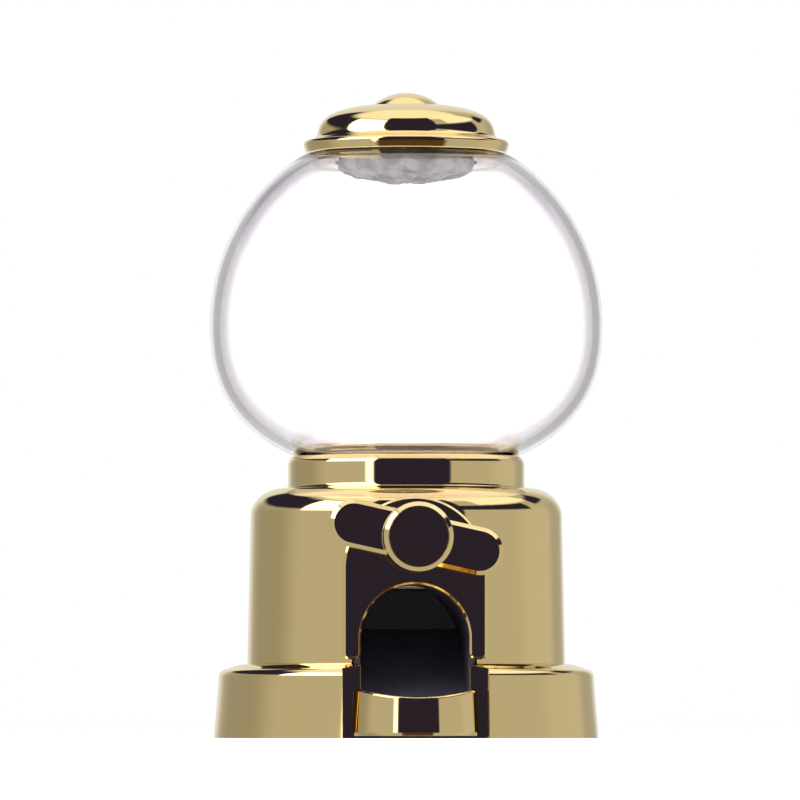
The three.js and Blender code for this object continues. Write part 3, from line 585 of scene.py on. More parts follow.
@dataclass
class Base:
    """The plinth with its notch and mouth, the cover under it, and the tray."""

    taper: float = 0.8
    crown: float = 0.8
    edge: float = 1.3
    flare_power: float = 1.15
    flat_margin: float = 0.2
    wall: float = 1.6
    ceiling_slope: float = 2.0
    leg: float = 2.75
    side_play: float = 0.2
    mouth_play: float = 0.05
    chute_margin: float = 1.3
    chute_end: float = -3.5
    ring_share: float = 0.72
    ring_width: float = 1.2
    ring_slope: float = 0.3
    ring_depth: float = 0.25
    counterbore: float = 2.25
    screw_hole: float = 1.2
    screw_seat: float = 0.7
    rim_rounding: float = 0.45
    tray_flare: float = 0.35
    tray_wall: float = 1.1
    tray_floor: float = 1.1
    tray_scoop: float = 1.3
    tray_corner: float = 1.2
    tray_bend: float = 0.4
    foot_bevel: Point = (0.3, 0.5)
    hook: float = 2.4
    hook_reach: float = 2.0
    tongue_run: float = 0.6
    plinth: Extent = field(default_factory=lambda: Extent.of("plinth"))
    cover: Extent = field(default_factory=lambda: Extent.of("bottom_cover"))
    tray: Extent = field(default_factory=lambda: Extent.of("tray"))
    plate: Extent = field(default_factory=lambda: Extent.of("front_plate"))
    housing: Extent = field(default_factory=lambda: Extent.of("housing"))

    def skin(self) -> Profile:
        """The plinth's outer profile.

        Returns:
            Points from the edge of its flat top down to the foot.
        """
        foot, height = self.plinth.high.x, self.plinth.high.z
        waist = foot - self.taper
        rim = height - self.crown
        flat = self.housing.high.x + self.flat_margin
        crown = [(flat + (waist - self.edge - flat) * t, height - self.crown * t * t)
                 for t in (0, 0.2, 0.4, 0.6, 0.8)]
        round_edge = arc((waist - self.edge, rim - self.edge), self.edge, 90, 0, 12)
        drop = rim - self.edge
        flare = [(foot - self.taper * (1 - t ** self.flare_power), drop * (1 - t))
                 for t in (0.15, 0.3, 0.45, 0.6, 0.75, 0.9, 1.0)]
        return [*crown, *round_edge, *flare]

    def build(self) -> None:
        """Builds all the pieces of the base."""
        self.build_plinth()
        self.build_cover()
        self.build_tray()

    def build_plinth(self) -> None:
        """The gold shell, its flat notch and the foot of the mouth."""
        foot, height = self.plinth.high.x, self.plinth.high.z
        ceiling = height - self.wall
        face = self.plate.low.y
        back = face + self.wall
        inner = [(foot - self.wall, 0), (foot - self.taper - self.wall, ceiling - self.ceiling_slope),
                 (self.housing.high.x - self.wall, ceiling), (0, ceiling)]
        shell = turned("plinth", [(0, height), *self.skin(), *inner])
        outside = turned("outside", [(0, height), *self.skin(), (0, 0)])
        half = self.plate.high.x + self.side_play
        ahead = -(foot + 5 * PAST)
        wide = half + self.wall
        front_wall = combine(box("front_wall", (-wide, ahead, 0), (wide, back, height)), "INTERSECT", outside)
        notch = box("notch", (-half, ahead, -PAST), (half, face, height + PAST))
        mouth_half = self.plate.high.x - self.leg + self.mouth_play
        mouth = box("mouth", (-mouth_half, face - PAST, self.cover.high.z),
                    (mouth_half, back + PAST, height + PAST))
        chute_half = mouth_half + self.chute_margin
        hole = box("hole", (-chute_half, back, ceiling - PAST), (chute_half, self.chute_end, height + PAST))
        combine(shell, "UNION", front_wall)
        combine(shell, "DIFFERENCE", notch, mouth, hole)
        complete(shell, GOLD, Body.MACHINE, "plinth")

    def build_cover(self) -> None:
        """The black disc that closes the plinth, with a fine raised ring."""
        radius, top = self.cover.high.x, self.cover.high.z
        ring = radius * self.ring_share - self.ring_width
        profile = softened([(0, self.ring_depth), (ring, self.ring_depth), (ring + self.ring_slope, 0),
                            (radius, 0), (radius, top), (0, top)], self.ring_depth)
        disc = turned("bottom_cover", profile)
        half = self.plate.high.x + self.side_play + self.wall + GAP
        cuts = [box("cover_front", (-half, -radius - 5 * PAST, -PAST),
                    (half, self.plate.low.y + self.wall + GAP, top + PAST))]
        seat, wide, narrow = top - self.screw_seat, self.counterbore, self.screw_hole
        for i in range(1, 5):
            screw = Extent.of(f"base_screw_{i}")
            room = [(0, -PAST), (wide, -PAST), (wide, seat), (narrow, seat), (narrow, top + PAST),
                    (0, top + PAST)]
            cuts.append(turned("counterbore", room, origin=(screw.centre.x, screw.centre.y, 0), sides=48))
        combine(disc, "DIFFERENCE", *cuts)
        complete(disc, BLACK, Body.MACHINE, "bottom_cover")

    def tray_section(self, top: float) -> Profile:
        """The cup's section from its middle out over the rim and back.

        Args:
            top: Height of the rim.

        Returns:
            A closed profile of radius and height.
        """
        outer_foot = self.plate.low.y - GAP - self.tray.low.y
        rim_radius = outer_foot - self.tray_flare
        inner = rim_radius - self.tray_wall
        foot = self.tray.low.z
        under = self.cover.high.z + GAP
        floor = under + self.tray_floor
        corner, rounding = self.tray_corner, self.rim_rounding
        return [(0, floor), (inner - corner - self.tray_bend, floor),
                *arc((inner - corner, floor + corner), corner, -90, 0, 6),
                *arc((inner + rounding, top - rounding), rounding, 180, 90, 5),
                *arc((rim_radius - rounding, top - rounding), rounding, 90, 0, 5),
                (outer_foot, foot + self.foot_bevel[1]), (outer_foot - self.foot_bevel[0], foot),
                (inner, foot), (inner, under), (0, under)]

    def build_tray(self) -> None:
        """The half-round cup, its rim dipping in front, and its tongue."""
        centre = self.plate.low.y - GAP
        under = self.cover.high.z + GAP
        floor = under + self.tray_floor
        steps = 96
        mesh = bmesh.new()
        sections = []
        for k in range(steps + 1):
            angle = math.pi + math.pi * k / steps
            section = self.tray_section(self.tray.high.z - self.tray_scoop * math.sin(angle) ** 2)
            sections.append([mesh.verts.new((r * math.cos(angle), centre + r * math.sin(angle), z))
                             for r, z in section])
        for one, two in zip(sections[:-1], sections[1:]):
            for k in range(len(one)):
                n = (k + 1) % len(one)
                mesh.faces.new((one[k], one[n], two[n], two[k]))
        mesh.faces.new(sections[0])
        mesh.faces.new(sections[-1])
        bmesh.ops.remove_doubles(mesh, verts=mesh.verts, dist=1e-4)
        bmesh.ops.dissolve_degenerate(mesh, edges=mesh.edges, dist=1e-4)
        cup = to_object("tray", mesh)
        half = self.plate.high.x - self.leg - GAP
        front = self.plate.low.y + self.wall + GAP
        back = front + self.hook
        tongue = box("tongue", (-half, centre - self.tongue_run, under), (half, back, floor))
        bar = box("bar", (-half - self.hook_reach, front, under), (half + self.hook_reach, back, floor))
        combine(cup, "UNION", combine(tongue, "UNION", bar))
        complete(cup, GOLD, Body.MACHINE, "tray")


# ---- Housing and plate ----------------------------------------------------------------


@dataclass
class Housing:
    """The round housing with its shoulder, and the arched front plate."""

    draft: float = 0.5
    shoulder: float = 5.2
    shoulder_drop: float = 4.5
    sits: float = 0.31
    wall: float = 1.6
    leg: float = 2.75
    leg_corner: float = 0.9
    plate_edge: float = 0.34
    plate_depth: float = 4.0
    mouth_drop: float = 7.3
    chute_wall: float = 1.0
    seat: float = 1.0
    pad: float = 2.8
    pad_margin: float = 1.2
    nut_width: float = 2.7
    bushing_flange: float = 1.2
    sleeve_reach: Point = (5.0, 3.0)
    housing: Extent = field(default_factory=lambda: Extent.of("housing"))
    plate: Extent = field(default_factory=lambda: Extent.of("front_plate"))
    shaft: Extent = field(default_factory=lambda: Extent.of("drive_shaft"))
    bushing: Extent = field(default_factory=lambda: Extent.of("front_bushing"))

    def skin(self, grow: float) -> Profile:
        """The housing's outer profile.

        Args:
            grow: A gap added all round.

        Returns:
            Points from the foot to the top of the shoulder.
        """
        radius, top = self.housing.high.x, self.housing.high.z
        narrow = radius - self.draft
        return [(radius + grow, self.housing.low.z - self.sits),
                *arc((narrow - self.shoulder, top - self.shoulder_drop), self.shoulder + grow, 0, 90, 24,
                     self.shoulder_drop + grow)]

    def mouth_top(self) -> float:
        """Height of the top of the mouth."""
        return self.shaft.centre.z - self.mouth_drop

    def build(self) -> None:
        """Builds the housing and the plate."""
        self.build_housing()
        self.build_plate()

    def sleeve_hole(self) -> bpy.types.Object:
        """A cutter for the bushing's way through the housing and the plate.

        Returns:
            The cutter.
        """
        radius = self.bushing.size.x / 2 - self.bushing_flange + GAP
        near, far = (self.housing.high.x + way for way in (-self.sleeve_reach[0], self.sleeve_reach[1]))
        return turned("sleeve_hole", [(0, near), (radius, near), (radius, far), (0, far)],
                      Axis.FORWARD, (0, 0, self.shaft.centre.z), 64)

    def build_housing(self) -> None:
        """The gold shell with its openings for the plate, the mouth and the collar."""
        radius, top = self.housing.high.x, self.housing.high.z
        bottom = self.housing.low.z - self.sits
        hole = Extent.of("collar_nut").size.x / 2 - self.nut_width
        narrow = radius - self.draft
        inside = arc((narrow - self.shoulder, top - self.shoulder_drop), self.shoulder - self.wall, 0, 90, 8,
                     self.shoulder_drop - self.wall)
        shell = turned("housing", [(hole, top), *self.skin(0)[::-1], (radius - self.wall, bottom), *inside,
                                   (hole, top - self.wall)])
        outside = turned("outside", [(0, bottom), *self.skin(0), (0, top)])
        half = self.plate.high.x
        pad_half = half + self.pad_margin
        pad_front = -(radius - self.seat)
        pad_back = pad_front + self.pad
        pad = combine(box("pad", (-pad_half, -radius - 2 * PAST, bottom),
                          (pad_half, pad_back, self.plate.high.z + GAP)), "INTERSECT", outside)
        combine(shell, "UNION", pad)
        ahead, below = -radius - 3 * PAST, bottom - PAST
        seat = slab("seat", arch(half + GAP, below, self.plate.high.z + GAP), ahead, pad_front)
        chute_half = half - self.leg + self.chute_wall + GAP
        chute = slab("chute_hole", arch(chute_half, below, self.mouth_top() + self.chute_wall + GAP), ahead,
                     pad_back + PAST)
        combine(shell, "DIFFERENCE", seat, chute, self.sleeve_hole())
        complete(shell, GOLD, Body.MACHINE, "housing")

    def plate_outline(self) -> Profile:
        """The plate's outline: an arch with a smaller one cut up into it, and rounded legs.

        Returns:
            Points anticlockwise, as seen from the front.
        """
        half, low = self.plate.high.x, self.plate.low.z
        spring = self.plate.high.z - half
        mouth = half - self.leg
        mouth_spring = self.mouth_top() - mouth
        corner = self.leg_corner
        right = [*arc((mouth + corner, low + corner), corner, 180, 270, 8),
                 *arc((half - corner, low + corner), corner, 270, 360, 8)]
        left = [(-x, z) for x, z in right[::-1]]
        outer = arc((0, spring), half, 0, 180, 72)
        inner = arc((0, mouth_spring), mouth, 180, 0, 72)
        return [*outer, *left, *inner, *right]

    def build_plate(self) -> None:
        """The gold plate, its back shaped to the housing."""
        radius, bottom = self.housing.high.x, self.housing.low.z
        plate = slab("front_plate", self.plate_outline(), self.plate.low.y, -radius + self.plate_depth,
                     self.plate_edge)
        below = bottom - 2 * PAST
        room = turned("room", [(0, below), (radius + GAP, below), *self.skin(GAP),
                               (0, self.housing.high.z + GAP)])
        behind = box("behind", (-radius, -(radius - self.seat) - GAP, bottom - 3 * PAST), (radius, 0, 60))
        combine(plate, "DIFFERENCE", combine(room, "INTERSECT", behind), self.sleeve_hole())
        complete(plate, GOLD, Body.MACHINE, "front_plate")


# ---- Collar, globe and hopper ---------------------------------------------------------


@dataclass
class Vessel:
    """The collar that the globe stands in, the globe and the hopper under it."""

    collar_rounding: float = 1.8
    collar_foot: float = 0.65
    collar_flare: float = 0.25
    sits: float = 0.31
    ledge: float = 1.2
    neck: float = 16.4
    wall: float = 1.5
    upper: float = 31.9
    lower: float = 23.84
    lower_power: float = 2.4
    rise: float = 24.8
    flat: float = 27.7
    turn: float = 0.35
    fill_neck: float = 12.7
    fill_wall: float = 1.2
    collar_height: float = 5.2
    lip: float = 1.0
    spigot_step: float = 1.7
    spigot_wall: float = 1.6
    hopper_wall: float = 0.9
    hopper_outlet: float = 5.0
    hopper_step: float = 0.4
    hopper_rounding: float = 0.3
    globe: Extent = field(default_factory=lambda: Extent.of("globe"))
    collar: Extent = field(default_factory=lambda: Extent.of("collar"))
    hopper: Extent = field(default_factory=lambda: Extent.of("hopper"))
    housing: Extent = field(default_factory=lambda: Extent.of("housing"))

    def centre(self) -> float:
        """Height of the globe's widest level."""
        return self.globe.low.z - GAP + self.rise

    def skin(self, grow: float, neck: float, fill: float, steps: int = 48) -> Profile:
        """The globe's surface from the lower neck to the filling neck.

        Args:
            grow: Added to the half-widths and half-heights.
            neck: Radius where the lower neck meets it.
            fill: Radius where the filling neck meets it.
            steps: Chords of each half.

        Returns:
            Points of radius and height, the lower neck first.
        """
        radius, centre = self.globe.high.x + grow, self.centre()
        low = [(r, centre - h) for r, h in bulge(neck, radius, self.lower + grow, self.lower_power, steps)]
        high = [(r, centre + self.flattened(h, grow))
                for r, h in bulge(fill, radius, self.upper + grow, 2, steps)]
        return [*low, *high[::-1][1:]]

    def flattened(self, height: float, grow: float) -> float:
        """Lets the top of the globe level off under the lid.

        Args:
            height: Height over the widest level on the full curve.
            grow: What the skin is grown by.

        Returns:
            The height, eased to stay under the flat level.
        """
        over, under = -height / self.turn, -(self.flat + grow) / self.turn
        return -self.turn * math.log(math.exp(over) + math.exp(under))

    def build(self) -> None:
        """Builds the three pieces."""
        self.build_collar()
        self.build_globe()
        self.build_hopper()

    def build_collar(self) -> None:
        """The gold ring, its top following the globe."""
        foot = self.housing.high.z + GAP
        outer, top, ledge = self.collar.high.x, foot + self.collar_height, foot + self.ledge
        bore = self.neck + GAP
        spigot = bore - self.spigot_step
        inner = spigot - self.spigot_wall
        bottom = self.collar.low.z
        rounding = self.collar_rounding
        profile = [(inner, bottom), (spigot, bottom), (spigot, foot - self.sits),
                   *arc((outer + self.collar_flare, foot + self.collar_foot), self.collar_flare, 270, 180, 8,
                        self.collar_foot + self.sits),
                   *arc((outer - rounding, top - rounding), rounding, 0, 90, 14),
                   (bore - self.lip, top), (bore - self.lip, ledge), (inner, ledge)]
        ring = turned("collar", profile)
        room = turned("globe_room", [
            (0, ledge), (bore, ledge), *self.skin(GAP, bore, self.fill_neck), (0, 95)])
        combine(ring, "DIFFERENCE", room)
        complete(ring, GOLD, Body.MACHINE, "collar")

    def build_globe(self) -> None:
        """The clear shell, with a rounded lip at each neck."""
        bottom, top = self.globe.low.z, self.globe.high.z
        outside = self.skin(0, self.neck, self.fill_neck)
        inside = self.skin(-self.wall, self.neck - self.wall, self.fill_neck - self.fill_wall)
        lip = self.fill_wall / 2
        foot = self.wall / 2
        profile = [*arc((self.neck - foot, bottom + foot), foot, 180, 360, 8), *outside,
                   *arc((self.fill_neck - lip, top - lip), lip, 0, 180, 8), *inside[::-1]]
        shell = turned("globe", profile)
        complete(shell, CLEAR, Body.MACHINE, "globe")

    def build_hopper(self) -> None:
        """The white funnel from the globe down to the drum."""
        low, high = self.hopper.low.z, self.hopper.high.z
        flange, wall, outlet = self.hopper.high.x, self.hopper_wall, self.hopper_outlet
        cone = self.neck + GAP - self.spigot_step - self.spigot_wall - GAP
        profile = softened([(flange, high - wall), (flange, high), (cone, high), (outlet, low + wall),
                            (outlet, low), (cone - self.hopper_step, high - wall)], self.hopper_rounding)
        complete(turned("hopper", profile), WHITE, Body.MACHINE, "hopper")


# ---- Lid ------------------------------------------------------------------------------


@dataclass
class Lid:
    """The domed gold lid with its rolled brim, button and plug."""

    dome: float = 14.05
    splay: float = 0.25
    splay_rise: float = 2.0
    dome_rise: float = 4.95
    dome_power: float = 2.75
    brow: float = 0.9
    brow_curve: Profile = field(default_factory=lambda: [(0.0, -0.35), (0.12, -0.16), (0.4, -0.04)])
    slope: Profile = field(default_factory=lambda: [(0.4, -0.3), (0.8, -0.62)])
    underside: Profile = field(default_factory=lambda: [(0.0, 1.15), (0.4, 1.7), (0.0, 2.1)])
    spread: float = 0.15
    roll: float = 0.75
    roll_drop: float = 1.55
    hem: float = 0.22
    hem_sink: float = 0.05
    hem_inside: Point = (1.1, 0.5)
    lean: float = 0.32
    globe_neck: float = 12.7
    stem_hole: float = 1.8
    stem: float = 1.5
    stem_bevel: float = 0.2
    wall: float = 1.5
    ceiling_slope: float = 1.3
    button_sink: float = 0.4
    button_lift: float = 0.17
    button_edge: float = 0.1
    plug_wall: float = 1.2
    belly: float = 3.0
    lump: float = 2.6
    dent: float = 0.5
    lid: Extent = field(default_factory=lambda: Extent.of("lid"))
    button: Extent = field(default_factory=lambda: Extent.of("lid_button"))
    plug: Extent = field(default_factory=lambda: Extent.of("lid_plug"))
    globe: Extent = field(default_factory=lambda: Extent.of("globe"))

    def build(self) -> None:
        """Builds the three pieces."""
        self.build_lid()
        self.build_button()
        self.build_plug()

    def dome_curve(self, dish: float, foot: float) -> Profile:
        """The dome, from the dish round the button to its splayed foot.

        Args:
            dish: Radius of the dish.
            foot: Height of the dome's foot.

        Returns:
            Points of radius and height.
        """
        power = self.dome_power
        curve = [(r + self.splay * max(0.0, 1 - h / self.splay_rise) ** 2, foot + h)
                 for r, h in bulge(dish + self.brow, self.dome, self.dome_rise, power, 44)]
        top = curve[0][1]
        return [*[(dish + out, top + up) for out, up in self.brow_curve], *curve,
                *[(self.dome + out, foot + up) for out, up in self.slope]]

    def build_lid(self) -> None:
        """The shell: brim roll, slope, dome and the dish round the button."""
        brim, low = self.lid.high.x + self.spread, self.lid.low.z - self.spread
        dish = self.button.high.x + GAP
        power = self.dome_power
        shown = self.dome_rise * (1 - (dish / self.dome) ** power) ** (1 / power)
        foot = self.lid.high.z - shown
        base = foot + self.dome_rise - self.button_sink - GAP
        ceiling = base - self.wall
        neck = self.globe_neck + GAP
        bend = (brim - self.roll, foot - self.roll_drop)
        hem = (brim - self.hem - self.lean, low + self.hem - self.hem_sink)
        under = [(r + out, low + up) for r, (out, up) in zip((self.dome, neck, neck), self.underside)]
        profile = [
            (self.stem_hole, ceiling), (self.stem_hole, base), (dish, base), *self.dome_curve(dish, foot),
            *arc(bend, self.roll, 70, -18, 14), *arc(hem, self.hem, -18, -95, 6),
            (brim - self.hem_inside[0], low + self.hem_inside[1]), *under,
            (neck, self.globe.high.z + GAP), (neck - self.ceiling_slope, ceiling)]
        complete(turned("lid", profile), GOLD, Body.LID, "lid")

    def build_button(self) -> None:
        """The pressed-in cap in the lid's dish."""
        radius, top = self.button.high.x + self.spread, self.button.high.z + self.spread / 2
        base = self.lid.high.z - self.button_sink + self.button_lift
        ball = (radius ** 2 + (top - base) ** 2) / (2 * (top - base))
        reach = math.degrees(math.asin(radius / ball))
        dome = arc((0, top - ball), ball, 90 - reach, 90, 24)
        low, stem, bevel, edge = self.button.low.z, self.stem, self.stem_bevel, self.button_edge
        profile = [(0, low), (stem - bevel, low), (stem, low + bevel), (stem, base - edge),
                   (radius - edge, base - edge), *dome[:-1], (0, top)]
        complete(turned("lid_button", profile), GOLD, Body.LID, "lid_button")

    def build_plug(self) -> None:
        """The soft grey stopper, trimmed by hand so that its bottom is uneven."""
        radius, low, high = self.plug.high.x, self.plug.low.z, self.plug.high.z
        radius, low = radius - 2 * self.spread, low + 2 * self.spread
        wall = self.plug_wall
        draw = random.Random(SEED)
        shift = Vector([draw.uniform(0, 50) for _ in range(3)])

        def uneven(r: float, z: float, angle: float) -> Point:
            """Dents the rounded bottom and leaves the rim as it is.

            Args:
                r: Radius of a point.
                z: Its height.
                angle: Its angle round the axis.

            Returns:
                Its new radius and height.
            """
            depth = max(0.0, min(1.0, 1.6 - (z - low) / self.belly))
            spot = Vector((r * math.cos(angle), r * math.sin(angle), z))
            lumps = noise.noise(spot / self.lump + shift) + 0.5 * noise.noise(spot / self.lump * 2.6 + shift)
            lift = self.dent * depth * max(-0.5, lumps)
            return r * (1 - lift / radius), z + lift

        outer = [(r, low + self.belly - h) for r, h in bulge(0, radius, self.belly, 2, 30)]
        inner = [(r, low + self.belly + wall - h) for r, h in bulge(0, radius - wall, self.belly, 2, 30)]
        profile = [*outer, (radius, high), (radius - wall, high), *inner[::-1]]
        complete(turned("lid_plug", profile, wobble=uneven), PLUG, Body.LID, "lid_plug")


# ---- Knob -----------------------------------------------------------------------------


@dataclass
class Knob:
    """The winged knob, its hub and the cap in the hub."""

    length: float = 27.7
    width: float = 7.5
    thickness: float = 3.4
    bevel: float = 0.65
    tilt: float = math.radians(12.5)
    hub: float = 5.46
    hub_bevel: float = 0.72
    hub_sink: float = 0.02
    floor_drop: float = 1.2
    bore: float = 1.95
    bore_depth: float = 5.3
    cap_play: float = 0.04
    cap_proud: float = 0.03
    cap_edge: float = 0.06
    knob: Extent = field(default_factory=lambda: Extent.of("knob"))
    cap: Extent = field(default_factory=lambda: Extent.of("knob_cap"))
    shaft: Extent = field(default_factory=lambda: Extent.of("drive_shaft"))

    def build(self) -> None:
        """Builds the knob and its cap."""
        self.build_knob()
        self.build_cap()

    def build_knob(self) -> None:
        """The wing and hub in one, tilted as the knob rests."""
        back, face = self.knob.high.y, self.knob.low.y
        tip = self.width / 2
        straight = (self.length - self.width) / 2
        outline = [*arc((straight, 0), tip, -90, 90, 40), *arc((-straight, 0), tip, 90, 270, 40)]
        wing = slab("knob", outline, back - self.thickness, back, self.bevel)
        cap, root = self.hub - self.hub_bevel, -back + self.hub_sink
        floor = -self.cap.high.y - self.floor_drop
        hub = turned("hub", [
            (0, root), (self.hub, root), (self.hub, -face - self.hub_bevel), (cap, -face), (cap, floor),
            (0, floor)], Axis.FORWARD, sides=FINE)
        start, end = -back - 5 * PAST, -back + self.bore_depth
        bore = turned("bore", [(0, start), (self.bore, start), (self.bore, end), (0, end)], Axis.FORWARD,
                      sides=64)
        combine(wing, "UNION", hub)
        combine(wing, "DIFFERENCE", bore)
        height = self.shaft.centre.z * MM
        wing.data.transform(Matrix.Translation((0, 0, height)) @ Matrix.Rotation(self.tilt, 4, "Y"))
        complete(wing, GOLD, Body.KNOB, "knob")

    def build_cap(self) -> None:
        """The flat disc in the hub's face."""
        radius, edge = self.hub - self.hub_bevel - self.cap_play, self.cap_edge
        face, back = -self.cap.low.y - self.cap_proud, -self.cap.high.y
        profile = [(0, back), (radius, back), *arc((radius - edge, face - edge), edge, 0, 90, 4), (0, face)]
        disc = turned("knob_cap", profile, Axis.FORWARD, (0, 0, self.cap.centre.z), FINE)
        complete(disc, GOLD, Body.KNOB, "knob_cap")


# ---- Mechanism ------------------------------------------------------------------------


@dataclass
class Mechanism:
    """The chute, the cradle and drum, and the shaft with its small parts."""

    chute_wall: float = 1.0
    slope: float = math.radians(22)
    leg: float = 2.75
    ear_depth: Point = (-4.0, 2.0)
    ear_thickness: float = 1.5
    drop_half: float = 5.2
    drop_end: float = 1.0
    drop_rise: float = 5.5
    cradle_room: float = 2.8
    drum_rounding: float = 0.4
    drum_bore: float = 1.95
    pocket: float = 4.3
    pocket_floor: float = 2.65
    groove: float = 0.4
    groove_slack: float = 0.1
    tip_bevel: float = 0.2
    tap: float = 0.95
    tap_depth: float = 5.0
    running: float = 0.1
    flange: float = 1.2
    flange_width: float = 1.2
    washer_play: float = 0.3
    clip_bite: float = 0.25
    clip_width: float = 1.4
    clip_mouth: float = 0.9
    nut_width: float = 2.7
    chute: Extent = field(default_factory=lambda: Extent.of("chute"))
    plate: Extent = field(default_factory=lambda: Extent.of("front_plate"))
    shaft: Extent = field(default_factory=lambda: Extent.of("drive_shaft"))
    drum: Extent = field(default_factory=lambda: Extent.of("metering_drum"))
    clip: Extent = field(default_factory=lambda: Extent.of("shaft_clip"))

    def build(self) -> None:
        """Builds the pieces inside the housing."""
        self.build_chute()
        self.build_drum()
        self.build_shaft()
        self.build_bearings()
        self.build_clip()
        self.build_nut()
        self.dress_cradle()

    def build_chute(self) -> None:
        """The black duct with its sloping floor."""
        front, back = self.chute.low.y, self.chute.high.y
        low, roof = self.chute.low.z, self.chute.high.z
        mouth = self.plate.high.x - self.leg
        lift = self.chute_wall / math.cos(self.slope)
        run = math.tan(self.slope)

        def above(name: str, rise: float, start: float) -> bpy.types.Object:
            """The room above the floor's slope.

            Args:
                name: The cutter's name.
                rise: How far above the floor's underside it starts.
                start: Y of its front.

            Returns:
                The cutter.
            """
            end, high = back + PAST, roof + 3 * PAST
            outline = [(start, low + rise + (start - front) * run), (end, low + rise + (end - front) * run),
                       (end, high), (start, high)]
            return prism(name, outline, mouth + 9 * PAST)

        duct = slab("chute", arch(mouth + self.chute_wall, 0, roof, 64), front, back)
        combine(duct, "INTERSECT", above("above", 0, front))
        inner = slab("inner", arch(mouth, 0, roof - self.chute_wall, 64), front - PAST,
                     back - self.chute_wall)
        combine(inner, "INTERSECT", above("inner_above", lift, front - PAST))
        ear = self.chute.high.x
        foot = Extent.of("housing").low.z
        ears = box("ears", (-ear, self.ear_depth[0], foot),
                   (ear, self.ear_depth[1], foot + self.ear_thickness))
        combine(duct, "UNION", combine(ears, "INTERSECT", above("ears_above", 0, front)))
        half, reach = self.drop_half, self.drum.high.y - self.drop_end
        drop = box("drop", (-half, -reach, foot + self.drop_rise), (half, reach, roof + PAST))
        room = box("room", (-ear - PAST, self.drum.low.y - self.cradle_room, Extent.of("cradle").low.z - GAP),
                   (ear + PAST, back + 2 * PAST, roof + PAST))
        combine(duct, "DIFFERENCE", inner, drop, room)
        complete(duct, BLACK, Body.MACHINE, "chute")

    def build_drum(self) -> None:
        """The white drum with the pocket that takes one sweet."""
        radius, half = self.drum.size.x / 2, self.drum.high.y
        height = self.drum.centre.z
        bore, pocket = self.drum_bore, self.pocket
        profile = softened([(bore, -half), (radius, -half), (radius, half), (bore, half)], self.drum_rounding)
        barrel = turned("metering_drum", profile, Axis.FORWARD, (0, 0, height), FINE)
        middle = height + self.pocket_floor + pocket
        steps = 32
        turns = [math.pi * i / steps for i in range(1, steps)]
        ball = turned("ball", [(0, middle - pocket),
                               *[(pocket * math.sin(t), middle - pocket * math.cos(t)) for t in turns],
                               (0, middle + pocket)], sides=64)
        combine(barrel, "DIFFERENCE", ball)
        complete(barrel, WHITE, Body.KNOB, "metering_drum")

    def build_shaft(self) -> None:
        """The steel shaft, grooved for its clip and tapped for the knob's screw."""
        radius = self.shaft.size.x / 2
        back, front = -self.shaft.high.y, -self.shaft.low.y
        groove, bevel = radius - self.groove, self.tip_bevel
        deep, near = -self.clip.high.y - self.groove_slack, -self.clip.low.y + self.groove_slack
        profile = [
            (0, back), (groove, back), (radius, back + self.groove), (radius, deep), (groove, deep),
            (groove, near), (radius, near), (radius, front - bevel), (radius - bevel, front),
            (self.tap, front), (self.tap, front - self.tap_depth), (0, front - self.tap_depth)]
        self.along_shaft("drive_shaft", profile, ZINC, Body.KNOB)

    def along_shaft(self, name: str, profile: Profile, finish: Finish, body: Body) -> None:
        """Turns a piece about the shaft's line and dresses it.

        Args:
            name: The piece and the frame node that it stands for.
            profile: Radius, and distance ahead of the middle.
            finish: Its finish.
            body: The body it rides on.
        """
        part = turned(name, profile, Axis.FORWARD, (0, 0, self.shaft.centre.z), SMALL)
        complete(part, finish, body, name)

    def build_bearings(self) -> None:
        """Two flanged bushings and the thrust washer behind the knob."""
        radius = self.shaft.size.x / 2
        bore = radius + self.running
        for name in ("front_bushing", "rear_bushing"):
            part = Extent.of(name)
            flange = part.size.x / 2
            sleeve = flange - self.flange_width
            back, front = -part.high.y, -part.low.y
            profile = softened([(bore, back), (flange, back), (flange, back + self.flange),
                                (sleeve, back + self.flange), (sleeve, front), (bore, front)], 0.2)
            self.along_shaft(name, profile, NYLON, Body.MACHINE)
        washer = Extent.of("thrust_washer")
        inner, outer = radius + self.washer_play, washer.size.x / 2
        back, front = -washer.high.y, -washer.low.y
        profile = softened([(inner, back), (outer, back), (outer, front), (inner, front)], 0.2)
        self.along_shaft("thrust_washer", profile, NYLON, Body.MACHINE)

    def build_clip(self) -> None:
        """The open spring clip in the shaft's groove."""
        radius, height = self.shaft.size.x / 2, self.shaft.centre.z
        inner, outer = radius - self.clip_bite, radius + self.clip_width
        back, front = -self.clip.high.y, -self.clip.low.y
        profile = softened([(inner, back), (outer, back), (outer, front), (inner, front)], 0.15)
        spring = turned("shaft_clip", profile, Axis.FORWARD, (0, 0, height), SMALL)
        half = self.clip_mouth
        combine(spring, "DIFFERENCE", box("mouth", (-half, self.clip.low.y - PAST, height - 5 * PAST),
                                          (half, self.clip.high.y + PAST, height)))
        complete(spring, ZINC, Body.KNOB, "shaft_clip")

    def build_nut(self) -> None:
        """The black ring that clamps the collar to the housing."""
        nut = Extent.of("collar_nut")
        outer = nut.size.x / 2
        inner, low, high = outer - self.nut_width, nut.low.z, nut.high.z
        profile = softened([(inner, low), (outer, low), (outer, high), (inner, high)], 0.35)
        complete(turned("collar_nut", profile), BLACK, Body.MACHINE, "collar_nut")

    def dress_cradle(self) -> None:
        """Gives the frame's own cradle its finish; it is flat-sided and hidden inside."""
        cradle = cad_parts["cradle"]
        for spot in cradle.material_slots:
            spot.material = WHITE.material()
        log.info("cradle: the frame's mesh, %s", WHITE.name)


# ---- Screws ---------------------------------------------------------------------------


class Drive(Enum):
    """The way a screw's point looks."""

    UP = (0.0, 0.0, 1.0)
    DOWN = (0.0, 0.0, -1.0)
    FRONT = (0.0, -1.0, 0.0)
    BACK = (0.0, 1.0, 0.0)


